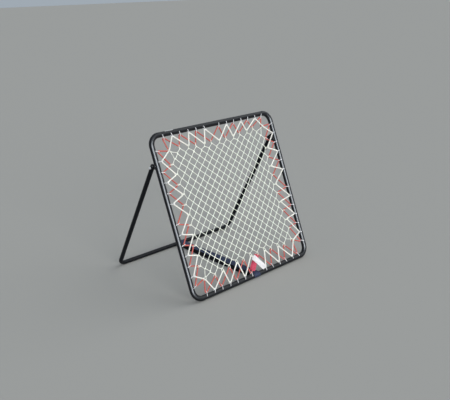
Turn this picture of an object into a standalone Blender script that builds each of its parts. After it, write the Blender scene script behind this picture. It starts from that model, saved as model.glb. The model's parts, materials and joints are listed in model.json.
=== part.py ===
"""Rebounder net on a folding steel stand.

A square tube frame leans back on a hinged U-shaped leg. A webbing strap looped round both ground
bars sets how far it opens. A diagonal net hangs in the frame on two zigzag lacings, a white one in
front of a red one, which run between cord loops on the frame and loops on the net's edge twine.

Metres, +Z up. The net faces -Y, and the origin is on the floor under the middle of the stand.
In the frame's own plane, u runs to the right, v up the frame and w out of its front.
"""

import math

import bmesh
import bpy
from mathutils import Matrix, Vector

# Gap between pieces that touch
GAP = 0.0003

# Front frame: one square of round tube
RAIL_SPAN = 0.968
RAIL_RADIUS = 0.016
RAIL_SIDES = 16
RAIL_BEND = 0.060
RAIL_BEND_STEPS = 6
LEAN = math.radians(20.7)

# Rear leg: a U of thinner tube, hinged behind the side rails
LEG_RADIUS = 0.0135
LEG_WALL = 0.0016
LEG_SIDES = 12
LEG_BEND = 0.045
LEG_BEND_STEPS = 5
LEG_LENGTH = 0.8506
LEG_TOP = 0.012
PIVOT_UP_RAIL = 0.800
PIVOT_BEHIND = 0.052

# Plug in each end of the leg
CAP_DOME = 0.008
CAP_RIM = 0.0012
CAP_STEM = 0.0060
CAP_STEPS = 4

# Hinge bracket, bolt, washers and nut on each side
BRACKET_THICKNESS = 0.005
BRACKET_NOSE = 0.016
BRACKET_FOOT = 0.052
BRACKET_REACH = 0.0005
BOLT_RADIUS = 0.004
BOLT_END = 0.003
HEX_ACROSS = 0.013
HEAD_HEIGHT = 0.0053
NUT_HEIGHT = 0.0078
NUT_COLLAR = 0.0018
HEX_CHAMFER = 0.0007
WASHER_RADIUS = 0.0085
WASHER_THICKNESS = 0.0016
ROUND_SIDES = 16

# Opening strap: one loop of webbing round both ground bars
STRAP_WIDTH = 0.050
STRAP_THICKNESS = 0.0008
STRAP_OFFSET = 0.020

# Net: square mesh set at 45 degrees, drawn in a little at the middle of each side, and out at its lower left
NET_TWINE = 0.0040
NET_REACH = 12
NET_MARGIN = 0.1239
NET_SPREAD = 0.094
NET_DEPTH = 0.009
NET_LIFT = 0.009
NET_SLANT = 0.024
NET_DRAW = 0.0125

# Edge twine: zigzags round the net, with a loop for the lacing at each outer point
TIPS_PER_SIDE = 11
TIP_ROW = NET_REACH + 1
CORNER_MARGIN = 0.110
WHITE_TIP_INSET = 0.0085
EYE_LENGTH = 0.022
EYE_WIDTH = 0.014
EYE_SPLIT = 0.0017
EDGE_SEAT = 0.0054

# Lacings: round cord in two planes, the white one in front
LACING_RADIUS = 0.004
LACING_SIDES = 6
BEND_POINTS = 2

# Cord loops on the frame that the lacings run through
LOOP_RADIUS = 0.002
LOOP_SIDES = 4
LOOP_PLACES = 14
LOOP_FROM_CORNER = 0.0807
LOOP_REACH = {"top": 0.030, "right": 0.032, "bottom": 0.029, "left": 0.035}
LOOP_ROOT = 0.004
LOOP_SLANT = 0.15
LOOP_UNUSED = {"top": 7, "right": 7, "bottom": 7, "left": 8}
LOOP_SHIFT = {"top": 0.0, "right": -0.006, "bottom": 0.0, "left": -0.006}

# Fabric sleeves over the joints of the lacings
SLEEVE_LENGTHS = {"white": 0.110, "red": 0.097}
SLEEVE_WIDTH = 0.036
SLEEVE_EDGE = 0.0011
SLEEVE_WALL = 0.0010
SLEEVE_CROWN = 0.0050

COLOURS = {
    "black_paint": ((0.012, 0.013, 0.016), 0.28, 0.0),
    "black_plastic": ((0.020, 0.020, 0.022), 0.45, 0.0),
    "zinc": ((0.70, 0.71, 0.72), 0.30, 1.0),
    "black_webbing": ((0.016, 0.017, 0.022), 0.75, 0.0),
    "net_twine": ((0.78, 0.82, 0.66), 0.80, 0.0),
    "white_cord": ((0.90, 0.90, 0.84), 0.70, 0.0),
    "red_cord": ((0.62, 0.13, 0.10), 0.70, 0.0),
    "white_fabric": ((0.88, 0.86, 0.88), 0.80, 0.0),
    "crimson_fabric": ((0.66, 0.06, 0.13), 0.80, 0.0),
}

# Worked out from the sizes above
HALF_SPAN = RAIL_SPAN / 2
NET_HALF_STEP = (HALF_SPAN - NET_MARGIN) / TIP_ROW
CORNER_TIP = HALF_SPAN - CORNER_MARGIN
DRAW_CREST = 32 / 27
LOOP_PITCH = (RAIL_SPAN - 2 * LOOP_FROM_CORNER) / (LOOP_PLACES - 1)
RAIL_FLAT = RAIL_RADIUS * math.cos(math.pi / RAIL_SIDES)
LEG_FLAT = LEG_RADIUS * math.cos(math.pi / LEG_SIDES)
CAP_BORE = LEG_RADIUS - LEG_WALL
STRAP_STACK = GAP + STRAP_THICKNESS
RAIL_HEIGHT = STRAP_STACK + RAIL_FLAT
BAR_HEIGHT = STRAP_STACK + LEG_FLAT
PIVOT_V = PIVOT_UP_RAIL - HALF_SPAN
PIVOT_HEIGHT = RAIL_HEIGHT + PIVOT_UP_RAIL * math.cos(LEAN) - PIVOT_BEHIND * math.sin(LEAN)
PIVOT_BACK = PIVOT_UP_RAIL * math.sin(LEAN) + PIVOT_BEHIND * math.cos(LEAN)
LEG_LEAN = math.acos((PIVOT_HEIGHT - BAR_HEIGHT) / LEG_LENGTH)
BAR_BACK = PIVOT_BACK + LEG_LENGTH * math.sin(LEG_LEAN)
SLEEVE_RISE = LACING_RADIUS + GAP + SLEEVE_WALL
LACING_SPACING = 2 * SLEEVE_RISE + GAP
WHITE_DEPTH = NET_DEPTH + LACING_SPACING / 2
RED_DEPTH = NET_DEPTH - LACING_SPACING / 2
LOOP_HOLD = LACING_RADIUS + GAP + LOOP_RADIUS
TIP_HOLD = LACING_RADIUS + GAP + NET_TWINE / 2
SIDES = ("top", "right", "bottom", "left")


def clear_scene():
    """Remove whatever the scene holds."""
    for item in list(bpy.data.objects):
        bpy.data.objects.remove(item, do_unlink=True)


def material(name, finish):
    """Make one piece's own Principled material from a named finish."""
    colour, roughness, metallic = COLOURS[finish]
    made = bpy.data.materials.new(name)
    made.use_nodes = True
    shader = made.node_tree.nodes["Principled BSDF"]
    shader.inputs["Base Color"].default_value = (*colour, 1.0)
    shader.inputs["Roughness"].default_value = roughness
    shader.inputs["Metallic"].default_value = metallic
    made.diffuse_color = (*colour, 1.0)
    return made


def empty(name, location, turn=0.0, parent=None):
    """Add an empty, turned about X, that carries pieces."""
    holder = bpy.data.objects.new(name, None)
    holder.location = location
    holder.rotation_euler = (turn, 0.0, 0.0)
    holder.parent = parent
    bpy.context.scene.collection.objects.link(holder)
    return holder


def piece(name, bm, finish, parent, smooth=35.0):
    """Turn a bmesh into a named object with its own material."""
    bmesh.ops.remove_doubles(bm, verts=bm.verts, dist=1e-7)
    bmesh.ops.recalc_face_normals(bm, faces=bm.faces)
    mesh = bpy.data.meshes.new(name)
    bm.to_mesh(mesh)
    bm.free()
    mesh.shade_smooth()
    mesh.set_sharp_from_angle(angle=math.radians(smooth))
    made = bpy.data.objects.new(name, mesh)
    mesh.materials.append(material(name, finish))
    made.parent = parent
    bpy.context.scene.collection.objects.link(made)
    return made


def cutter(name, bm, parent):
    """Turn a bmesh into a hidden tool for a Boolean."""
    bmesh.ops.recalc_face_normals(bm, faces=bm.faces)
    mesh = bpy.data.meshes.new(name)
    bm.to_mesh(mesh)
    bm.free()
    made = bpy.data.objects.new(name, mesh)
    made.parent = parent
    made.hide_render = True
    made.display_type = "WIRE"
    bpy.context.scene.collection.objects.link(made)
    return made


def boolean(target, tool, operation):
    """Cut a piece with a tool, or join the tool to it."""
    step = target.modifiers.new(tool.name, "BOOLEAN")
    step.operation = operation
    step.solver = "EXACT"
    step.object = tool


def round_section(radius, sides, flat_angle=0.0):
    """Give the corners of a round tube's section, with a flat side facing flat_angle."""
    first = flat_angle + math.pi / sides
    return [
        (radius * math.cos(first + i * math.tau / sides), radius * math.sin(first + i * math.tau / sides))
        for i in range(sides)
    ]


def sweep(bm, path, section, side, closed=False):
    """Extrude a section along a path of points, with a mitre at each point.

    The section's first coordinate runs along side and its second along the path's direction x side.
    """
    points = [Vector(p) for p in path]
    count = len(points)
    runs = [(points[(i + 1) % count] - points[i]).normalized() for i in range(count)]
    last = count if closed else count - 1
    along = runs[-1] if closed else runs[0]
    side = (Vector(side) - along * along.dot(Vector(side))).normalized()
    up = along.cross(side)
    start = points[0]
    ring = [bm.verts.new(start + side * a + up * b) for a, b in section]
    if closed:
        slide_to_mitre(ring, along, start, along + runs[0])
    edges = [bm.edges.new((ring[i], ring[(i + 1) % len(ring)])) for i in range(len(ring))]
    first_ring, first_edges = ring, edges
    if not closed:
        bm.faces.new(ring)
    for i in range(1, last + 1):
        if closed and i == last:
            for a in range(len(ring)):
                b = (a + 1) % len(ring)
                bm.faces.new((ring[a], ring[b], first_ring[b], first_ring[a]))
            break
        result = bmesh.ops.extrude_edge_only(bm, edges=edges)["geom"]
        edges = [g for g in result if isinstance(g, bmesh.types.BMEdge)]
        ring = follow(ring, edges, result)
        travel = runs[i - 1]
        normal = travel + runs[i] if (closed or i < last) else travel
        slide_to_mitre(ring, travel, points[i], normal)
        edges = ring_edges(ring)
    if not closed:
        bm.faces.new(ring)
    return first_edges


def follow(ring, edges, result):
    """Find the new copy of each corner of a section after an extrusion."""
    fresh = {g for g in result if isinstance(g, bmesh.types.BMVert)}
    return [next(e.other_vert(v) for e in v.link_edges if e.other_vert(v) in fresh) for v in ring]


def ring_edges(ring):
    """Give the edges that join a ring of vertices."""
    pairs = zip(ring, ring[1:] + ring[:1])
    return [next(e for e in a.link_edges if e.other_vert(a) is b) for a, b in pairs]


def slide_to_mitre(ring, direction, point, normal):
    """Slide a section's corners along the path onto the plane that halves the bend."""
    for v in ring:
        v.co = v.co + direction * ((point - v.co).dot(normal) / direction.dot(normal))


def rounded_corner(corner, before, after, radius, steps):
    """Give the points of a bend of one radius in place of a sharp corner."""
    corner, before, after = Vector(corner), Vector(before), Vector(after)
    back = (before - corner).normalized()
    ahead = (after - corner).normalized()
    half = back.angle(ahead) / 2
    centre = corner + (back + ahead).normalized() * (radius / math.sin(half))
    axis = ahead.cross(back).normalized()
    sweep_angle = math.pi - 2 * half
    start = corner + back * (radius / math.tan(half)) - centre
    return [centre + Matrix.Rotation(sweep_angle * i / steps, 3, axis) @ start for i in range(steps + 1)]


def prism(bm, outline, low, high, place):
    """Extrude a closed outline between two heights."""
    base = [bm.verts.new(place @ Vector((a, b, low))) for a, b in outline]
    face = bm.faces.new(base)
    grown = bmesh.ops.extrude_face_region(bm, geom=[face])["geom"]
    lift = place.to_3x3() @ Vector((0, 0, high - low))
    bmesh.ops.translate(bm, vec=lift, verts=[g for g in grown if isinstance(g, bmesh.types.BMVert)])


def along_axis(x, v, w, outward):
    """Place a turned piece on the hinge axis, with its own z running outward (+1 or -1) along X."""
    turn = Matrix.Rotation(math.copysign(math.pi / 2, outward), 4, "Y")
    return Matrix.Translation((x, v, w)) @ turn


def disc(bm, radius, low, high, place, sides=ROUND_SIDES):
    """Add a round prism."""
    prism(bm, round_section(radius, sides), low, high, place)


# Points in the frame's plane


def on_side(side, along, out):
    """Turn a distance along a side and a distance out from the middle into u and v."""
    return {
        "top": (along, out),
        "right": (out, -along),
        "bottom": (-along, -out),
        "left": (-out, along),
    }[side]


def in_frame(side, along, out, w):
    """Give a point in the frame's plane from its place on a side."""
    u, v = on_side(side, along, out)
    return Vector((u, v, w))


def loop_places(side):
    """Give each used loop's place along a side and its lacing, red first."""
    used = [k for k in range(1, LOOP_PLACES + 1) if k != LOOP_UNUSED[side]]
    middle = (LOOP_PLACES + 1) / 2
    places = [(k - middle) * LOOP_PITCH + LOOP_SHIFT[side] for k in used]
    return [(along, "red" if i % 2 == 0 else "white") for i, along in enumerate(places)]


def hang(u, v):
    """Move a point of the net to where it hangs: a little high, rising to the right, drawn out at the left.

    The draw dies away towards the right side and both left corners, and its crest is a third below the middle.
    """
    across, up = u / CORNER_TIP, v / CORNER_TIP
    drawn = NET_DRAW * ((1 - across) / 2) ** 2 * (1 - up) ** 2 * (1 + up) / DRAW_CREST
    return Vector((u - drawn, v + NET_LIFT + NET_SLANT * u))


def net_point(x, y):
    """Give the place of a knot of the net, which spreads towards its corners."""
    u = x * NET_HALF_STEP * (1 + NET_SPREAD * (y / TIP_ROW) ** 2)
    v = y * NET_HALF_STEP * (1 + NET_SPREAD * (x / TIP_ROW) ** 2)
    return hang(u, v)


def outward(side):
    """Give the direction out of the net across a side."""
    return Vector(on_side(side, 0, 1))


def outer_points(side):
    """Give the net's outer points along a side, each with its lacing, red first."""
    points = []
    for i in range(TIPS_PER_SIDE):
        step = 2 * i - (TIPS_PER_SIDE - 1)
        lacing = "red" if i % 2 == 0 else "white"
        inset = WHITE_TIP_INSET * (1 - (step / TIP_ROW) ** 2) if lacing == "white" else 0.0
        points.append((net_point(*on_side(side, step, TIP_ROW)) - outward(side) * inset, lacing))
    return points


def corner_point(side):
    """Give the net's corner at the end of a side."""
    return hang(*on_side(side, CORNER_TIP, CORNER_TIP))


def corner_outward(side):
    """Give the direction out of the net at the corner after a side."""
    return Vector(on_side(side, 1, 1)).normalized()


def lacing_depth(lacing):
    """Give the depth of a lacing's plane."""
    return WHITE_DEPTH if lacing == "white" else RED_DEPTH


def lacing_pegs(lacing):
    """Give what a lacing bends round, in order: the ends of its loops and of its eyes."""
    pegs = []
    for side in SIDES:
        loops = [along for along, colour in loop_places(side) if colour == lacing]
        tips = [tip for tip, colour in outer_points(side) if colour == lacing]
        for i in range(len(loops)):
            end = loop_end(side, lacing, i)
            pegs.append((Vector(on_side(side, end, HALF_SPAN - LOOP_REACH[side])), "loop"))
            if i < len(tips):
                pegs.append((tips[i] + outward(side) * EYE_LENGTH, "tip"))
        pegs.append((corner_point(side) + corner_outward(side) * EYE_LENGTH, "tip"))
    return pegs


def loop_end(side, lacing, index):
    """Give where a loop's end stands along its side: the lacing pulls it towards its two eyes."""
    root = [along for along, colour in loop_places(side) if colour == lacing][index]
    run = Vector(on_side(side, 1, 0))
    tips = [tip.dot(run) for tip, colour in outer_points(side) if colour == lacing]
    before = tips[index - 1] if index > 0 else -CORNER_TIP
    after = tips[index] if index < len(tips) else CORNER_TIP
    return root + LOOP_SLANT * ((before + after) / 2 - root)


def with_ends(path):
    """Close a cord's route with its two ends meeting halfway between its last point and its first."""
    joint = (path[-1] + path[0]) / 2
    slack = (path[0] - path[-1]).normalized() * (GAP / 2)
    return [joint + slack, *path, joint - slack]


def taut_path(pegs, w, holds):
    """Draw a cord tight round its pegs and give its points, with BEND_POINTS at each peg."""
    count = len(pegs)
    bends = []
    for i, (centre, kind) in enumerate(pegs):
        turn_before = tangent(pegs[i - 1], pegs[i], holds)
        turn_after = tangent(pegs[i], pegs[(i + 1) % count], holds)
        bends.append((centre, kind, turn_before, turn_after))
    path = []
    for centre, kind, before, after in bends:
        angle = before.angle(after)
        towards = (before - after).normalized()
        reach = holds[kind] / math.cos(angle / (2 * BEND_POINTS))
        spin = 1.0 if before.x * after.y - before.y * after.x > 0 else -1.0
        for j in range(BEND_POINTS):
            offset = (j - (BEND_POINTS - 1) / 2) * angle / BEND_POINTS
            turned = Matrix.Rotation(spin * offset, 2) @ towards
            spot = centre + turned * reach
            path.append(Vector((spot.x, spot.y, w)))
    return path


def tangent(start, end, holds):
    """Give the direction of a cord that crosses from one peg's side to the other's."""
    (first, kind_a), (second, kind_b) = start, end
    line = second - first
    spread = math.asin((holds[kind_a] + holds[kind_b]) / line.length)
    spin = -1.0 if kind_a == "loop" else 1.0
    return (Matrix.Rotation(spin * spread, 2) @ line).normalized()


# Pieces of the front frame


def rail_section(clearance=0.0):
    """Give the rail's section, turned so that the bottom rail has a flat side towards the floor."""
    return round_section(RAIL_RADIUS + clearance, RAIL_SIDES, LEAN)


def front_frame(plane):
    """Bend the square tube frame and join its cord loops to it."""
    corners = [(-HALF_SPAN, -HALF_SPAN), (HALF_SPAN, -HALF_SPAN), (HALF_SPAN, HALF_SPAN), (-HALF_SPAN, HALF_SPAN)]
    corners = [Vector((u, v, 0)) for u, v in corners]
    path = []
    for i, corner in enumerate(corners):
        path += rounded_corner(corner, corners[i - 1], corners[(i + 1) % 4], RAIL_BEND, RAIL_BEND_STEPS)
    bm = bmesh.new()
    sweep(bm, path, rail_section(), (-1, 0, 0), closed=True)
    frame = piece("front_frame", bm, "black_paint", plane)
    boolean(frame, cutter("frame_loops", cord_loops(), plane), "UNION")
    return frame


def cord_loops():
    """Make every cord loop: out of the rail's front, round the lacing and back into its inner side."""
    bm = bmesh.new()
    section = round_section(LOOP_RADIUS, LOOP_SIDES)
    for side in SIDES:
        seen = {"red": 0, "white": 0}
        for along, lacing in loop_places(side):
            end = loop_end(side, lacing, seen[lacing])
            seen[lacing] += 1
            depth = lacing_depth(lacing)
            front = depth + LOOP_HOLD
            behind = depth - LOOP_HOLD
            crest = math.sqrt(RAIL_RADIUS**2 - LOOP_ROOT**2) + LOOP_RADIUS
            profile = (
                (0.0, LOOP_ROOT / 2, RAIL_RADIUS * 0.75),
                (0.0, LOOP_ROOT, crest),
                (1.0, LOOP_REACH[side], front),
                (1.0, LOOP_REACH[side], behind),
                (0.0, RAIL_RADIUS / 2, behind / 2),
            )
            path = [
                in_frame(side, along + share * (end - along), HALF_SPAN - inward, w)
                for share, inward, w in profile
            ]
            across = in_frame(side, 1.0, 0.0, 0.0)
            sweep(bm, path, section, across)
    return bm


def bracket(name, hand, plane):
    """Make the plate behind a side rail that carries the hinge bolt, coped to the rail."""
    inner = HALF_SPAN - LEG_RADIUS - 2 * GAP - WASHER_THICKNESS - BRACKET_THICKNESS
    nose = [
        (
            PIVOT_V + BRACKET_NOSE * math.cos(math.pi + math.pi * i / 8),
            -PIVOT_BEHIND + BRACKET_NOSE * math.sin(math.pi + math.pi * i / 8),
        )
        for i in range(9)
    ]
    foot = BRACKET_FOOT / 2
    outline = nose + [(PIVOT_V + foot, -RAIL_RADIUS), (PIVOT_V + foot, -BRACKET_REACH)]
    outline += [(PIVOT_V - foot, -BRACKET_REACH), (PIVOT_V - foot, -RAIL_RADIUS)]
    upright = Matrix(((0, 0, hand, 0), (1, 0, 0, 0), (0, 1, 0, 0), (0, 0, 0, 1)))
    bm = bmesh.new()
    prism(bm, outline, inner, inner + BRACKET_THICKNESS, upright)
    plate = piece(name, bm, "black_paint", plane)
    tool = bmesh.new()
    disc(tool, BOLT_RADIUS + GAP, -RAIL_SPAN, RAIL_SPAN, along_axis(0, PIVOT_V, -PIVOT_BEHIND, 1))
    rail = [(hand * HALF_SPAN, PIVOT_V - hand * reach, 0) for reach in (BRACKET_FOOT, -BRACKET_FOOT)]
    sweep(tool, rail, rail_section(GAP), (hand, 0, 0))
    boolean(plate, cutter(name + "_cuts", tool, plane), "DIFFERENCE")
    return plate


def hinge_stack():
    """Give the distance from the leg's centre line to each face of the hinge hardware."""
    places = {}
    out = LEG_RADIUS + GAP
    places["outer_washer"] = (out, out + WASHER_THICKNESS)
    out += WASHER_THICKNESS + GAP
    places["head"] = (out, out + HEAD_HEIGHT)
    inward = LEG_RADIUS + GAP
    places["middle_washer"] = (inward, inward + WASHER_THICKNESS)
    inward += WASHER_THICKNESS + GAP + BRACKET_THICKNESS + GAP
    places["inner_washer"] = (inward, inward + WASHER_THICKNESS)
    inward += WASHER_THICKNESS + GAP
    places["nut"] = (inward, inward + NUT_HEIGHT)
    places["bolt_end"] = inward + NUT_HEIGHT + BOLT_END
    return places


def hex_block(bm, low, high, place):
    """Add a hexagonal block with its outer corners turned off."""
    radius = HEX_ACROSS / math.sqrt(3)
    prism(bm, round_section(radius, 6), low, high - HEX_CHAMFER, place)
    top = max(bm.faces, key=lambda f: (place.inverted() @ f.calc_center_median()).z)
    grown = bmesh.ops.extrude_face_region(bm, geom=[top])["geom"]
    verts = [g for g in grown if isinstance(g, bmesh.types.BMVert)]
    bmesh.ops.delete(bm, geom=[top], context="FACES_ONLY")
    share = (HEX_ACROSS / 2 - HEX_CHAMFER) / (HEX_ACROSS / 2)
    for v in verts:
        local = place.inverted() @ v.co
        v.co = place @ Vector((local.x * share, local.y * share, high))


def hinge_bolt(name, hand, plane):
    """Make the hexagon bolt that the leg turns on, with its head outside."""
    stack = hinge_stack()
    place = along_axis(hand * HALF_SPAN, PIVOT_V, -PIVOT_BEHIND, hand)
    bm = bmesh.new()
    hex_block(bm, stack["head"][0], stack["head"][1], place)
    bolt = piece(name, bm, "zinc", plane)
    shank = bmesh.new()
    disc(shank, BOLT_RADIUS, -stack["bolt_end"], stack["head"][0] + HEAD_HEIGHT / 2, place)
    boolean(bolt, cutter(name + "_shank", shank, plane), "UNION")
    return bolt


def hinge_nut(name, hand, plane):
    """Make the lock nut with its round collar."""
    low, high = hinge_stack()["nut"]
    place = along_axis(hand * HALF_SPAN, PIVOT_V, -PIVOT_BEHIND, -hand)
    bm = bmesh.new()
    hex_block(bm, low, high - NUT_COLLAR, place)
    nut = piece(name, bm, "zinc", plane)
    collar = bmesh.new()
    disc(collar, HEX_ACROSS / 2 - HEX_CHAMFER * 1.5, low + NUT_COLLAR, high, place)
    boolean(nut, cutter(name + "_collar", collar, plane), "UNION")
    hole = bmesh.new()
    disc(hole, BOLT_RADIUS + GAP, low - GAP, high + GAP, place)
    boolean(nut, cutter(name + "_hole", hole, plane), "DIFFERENCE")
    return nut


def hinge_washer(name, hand, plane, which):
    """Make one flat washer of the hinge."""
    outward = hand if which == "outer_washer" else -hand
    low, high = hinge_stack()[which]
    place = along_axis(hand * HALF_SPAN, PIVOT_V, -PIVOT_BEHIND, outward)
    bm = bmesh.new()
    disc(bm, WASHER_RADIUS, low, high, place)
    washer = piece(name, bm, "zinc", plane)
    hole = bmesh.new()
    disc(hole, BOLT_RADIUS + GAP, low - GAP, high + GAP, place)
    boolean(washer, cutter(name + "_hole", hole, plane), "DIFFERENCE")
    return washer


# Pieces of the rear leg


def leg_section(radius):
    """Give a section for the leg, turned so that the ground bar has a flat side towards the floor."""
    return round_section(radius, LEG_SIDES, math.pi - LEG_LEAN)


def rear_leg(pivot):
    """Bend the U-shaped leg, bore it for the hinge bolts and open its ends for the plugs."""
    top, foot = LEG_TOP, -LEG_LENGTH
    corners = [Vector((-HALF_SPAN, foot, 0)), Vector((HALF_SPAN, foot, 0))]
    ends = [Vector((-HALF_SPAN, top, 0)), Vector((HALF_SPAN, top, 0))]
    path = [ends[0]]
    path += rounded_corner(corners[0], ends[0], corners[1], LEG_BEND, LEG_BEND_STEPS)
    path += rounded_corner(corners[1], corners[0], ends[1], LEG_BEND, LEG_BEND_STEPS)
    path.append(ends[1])
    bm = bmesh.new()
    sweep(bm, path, leg_section(LEG_RADIUS), (1, 0, 0))
    leg = piece("rear_leg", bm, "black_paint", pivot)
    tool = bmesh.new()
    disc(tool, BOLT_RADIUS + GAP, -RAIL_SPAN, RAIL_SPAN, along_axis(0, 0, 0, 1))
    for hand in (-1, 1):
        prism(tool, leg_section(CAP_BORE), -CAP_STEM - GAP, GAP, leg_end(hand))
    boolean(leg, cutter("leg_bores", tool, pivot), "DIFFERENCE")
    return leg


def leg_end(hand):
    """Place a section at one end of the leg, its own x facing the other end and its height up the tube."""
    return Matrix(((-hand, 0, 0, hand * HALF_SPAN), (0, 0, 1, LEG_TOP), (0, 1, 0, 0), (0, 0, 0, 1)))


def leg_cap(name, hand, pivot):
    """Make the domed plug for one end of the leg, whose stem fits in the tube."""
    place = leg_end(hand)
    bm = bmesh.new()
    rings = [(CAP_BORE - GAP, -CAP_STEM), (CAP_BORE - GAP, GAP), (LEG_RADIUS, GAP)]
    for i in range(CAP_STEPS):
        angle = math.pi / 2 * i / CAP_STEPS
        rings.append((LEG_RADIUS * math.cos(angle), CAP_RIM + (CAP_DOME - CAP_RIM) * math.sin(angle)))
    loft(bm, [leg_section(radius) for radius, _ in rings], [height for _, height in rings], place)
    return piece(name, bm, "black_plastic", pivot, smooth=40.0)


def loft(bm, sections, heights, place):
    """Skin a stack of sections, and close its two ends."""
    rings = []
    for section, height in zip(sections, heights):
        rings.append([bm.verts.new(place @ Vector((a, b, height))) for a, b in section])
    bm.faces.new(rings[0])
    bm.faces.new(rings[-1])
    for low, high in zip(rings, rings[1:]):
        for i in range(len(low)):
            j = (i + 1) % len(low)
            bm.faces.new((low[i], low[j], high[j], high[i]))


def strap(stand):
    """Loop the opening strap round the two ground bars."""
    path = []
    for i in range(RAIL_SIDES // 2):
        angle = math.pi / 2 + math.pi / RAIL_SIDES + i * math.tau / RAIL_SIDES
        radius = (RAIL_FLAT + GAP + STRAP_THICKNESS / 2) / math.cos(math.pi / RAIL_SIDES)
        path.append((0, radius * math.cos(angle), RAIL_HEIGHT + radius * math.sin(angle)))
    for i in range(LEG_SIDES // 2):
        angle = -math.pi / 2 + math.pi / LEG_SIDES + i * math.tau / LEG_SIDES
        radius = (LEG_FLAT + GAP + STRAP_THICKNESS / 2) / math.cos(math.pi / LEG_SIDES)
        path.append((0, BAR_BACK + radius * math.cos(angle), BAR_HEIGHT + radius * math.sin(angle)))
    half, thick = STRAP_WIDTH / 2, STRAP_THICKNESS / 2
    section = [(-half, -thick), (half, -thick), (half, thick), (-half, thick)]
    bm = bmesh.new()
    sweep(bm, path, section, (1, 0, 0), closed=True)
    bmesh.ops.translate(bm, vec=(STRAP_OFFSET, 0, 0), verts=bm.verts)
    return piece("opening_strap", bm, "black_webbing", stand)


# The net and what hangs it


def net(plane):
    """Make the net's meshes: twine with a ridge in front and behind, joined at its knots."""
    bm = bmesh.new()
    knots = [
        (x, y)
        for x in range(-NET_REACH, NET_REACH + 1)
        for y in range(-NET_REACH, NET_REACH + 1)
        if (x + y) % 2 == 1
    ]
    half = NET_TWINE / 2
    front, back, sides = {}, {}, {}
    for knot in knots:
        u, v = net_point(*knot)
        front[knot] = bm.verts.new((u, v, NET_DEPTH + half))
        back[knot] = bm.verts.new((u, v, NET_DEPTH - half))

    def side_vert(cell, knot):
        """Give the corner of a gap beside a knot, made once."""
        if (cell, knot) not in sides:
            here = Vector((*net_point(*knot), NET_DEPTH))
            there = Vector((*net_point(*cell), NET_DEPTH))
            sides[cell, knot] = bm.verts.new(here + (there - here).normalized() * half * math.sqrt(2))
        return sides[cell, knot]

    for x, y in knots:
        for dx, dy in ((1, 1), (-1, 1), (-1, -1), (1, -1)):
            other = (x + dx, y + dy)
            cells = ((x + dx, y), (x, y + dy))
            if other in front:
                if dx > 0:
                    strand(bm, (x, y), other, cells, front, back, side_vert)
            else:
                a, b = (side_vert(cell, (x, y)) for cell in cells)
                bm.faces.new((front[x, y], a, b))
                bm.faces.new((back[x, y], a, b))
    return piece("net", bm, "net_twine", plane, smooth=100.0)


def strand(bm, start, end, cells, front, back, side_vert):
    """Add the four faces of the twine between two knots."""
    for cell in cells:
        a, b = side_vert(cell, start), side_vert(cell, end)
        bm.faces.new((front[start], front[end], b, a))
        bm.faces.new((back[start], back[end], b, a))


def edge_twine(plane):
    """Run the edge twine round the net: in to each outer knot, and out in an eye round each lacing."""
    path = []
    for side in SIDES:
        points = outer_points(side)
        for i in range(TIPS_PER_SIDE + 1):
            knot = net_point(*on_side(side, 2 * i - TIPS_PER_SIDE, NET_REACH)) + outward(side) * EDGE_SEAT
            path.append(Vector((knot.x, knot.y, NET_DEPTH)))
            if i < TIPS_PER_SIDE:
                tip, lacing = points[i]
                depth = lacing_depth(lacing)
                path += eye(tip, outward(side), depth + TIP_HOLD, depth - TIP_HOLD)
        path += eye(corner_point(side), corner_outward(side), WHITE_DEPTH + TIP_HOLD, RED_DEPTH - TIP_HOLD)
    bm = bmesh.new()
    sweep(bm, with_ends(path), round_section(NET_TWINE / 2, 4), (0, 0, 1))
    return piece("edge_twine", bm, "net_twine", plane, smooth=100.0)


def eye(tip, out, front, back):
    """Give the twine's points out from an outer point, round what hangs it and back."""
    across = Vector((out.y, -out.x))
    split = across * EYE_SPLIT
    waist = tip + out * (EYE_LENGTH / 2)
    bow = across * ((EYE_WIDTH - NET_TWINE) / 2)
    end = tip + out * EYE_LENGTH
    route = (
        (tip - split, NET_DEPTH + EYE_SPLIT),
        (waist - bow, front),
        (end, front),
        (end, back),
        (waist + bow, back),
        (tip + split, NET_DEPTH - EYE_SPLIT),
    )
    return [Vector((spot.x, spot.y, w)) for spot, w in route]


def lacing_route(lacing):
    """Give a lacing's whole route, starting and ending at its joint on the bottom side."""
    pegs = lacing_pegs(lacing)
    middle = nearest_joint(pegs, lacing)
    pegs = pegs[middle + 1:] + pegs[: middle + 1]
    return with_ends(taut_path(pegs, lacing_depth(lacing), {"loop": LOOP_HOLD, "tip": TIP_HOLD}))


def nearest_joint(pegs, lacing):
    """Find the peg before a lacing's joint, on the stretch next to the middle of the bottom side."""
    below = [i for i, (spot, _) in enumerate(pegs) if spot.y < -HALF_SPAN / 2]
    crossing = [i for i in below if joins(pegs[i], pegs[i + 1], lacing)]
    return crossing[0]


def joins(first, second, lacing):
    """Tell whether two pegs are the ones either side of a lacing's joint."""
    outer, inner = (first, second) if first[1] == "loop" else (second, first)
    if outer[1] == inner[1]:
        return False
    if lacing == "white":
        return abs(inner[0].x) < LOOP_PITCH / 2 < outer[0].x
    return LOOP_PITCH / 2 < inner[0].x < 1.5 * LOOP_PITCH and -LOOP_PITCH < outer[0].x < 0


def lacing_cord(name, lacing, finish, plane):
    """Sweep one lacing along its route."""
    bm = bmesh.new()
    sweep(bm, lacing_route(lacing), round_section(LACING_RADIUS, LACING_SIDES), (0, 0, 1))
    return piece(name, bm, finish, plane, smooth=70.0)


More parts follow.
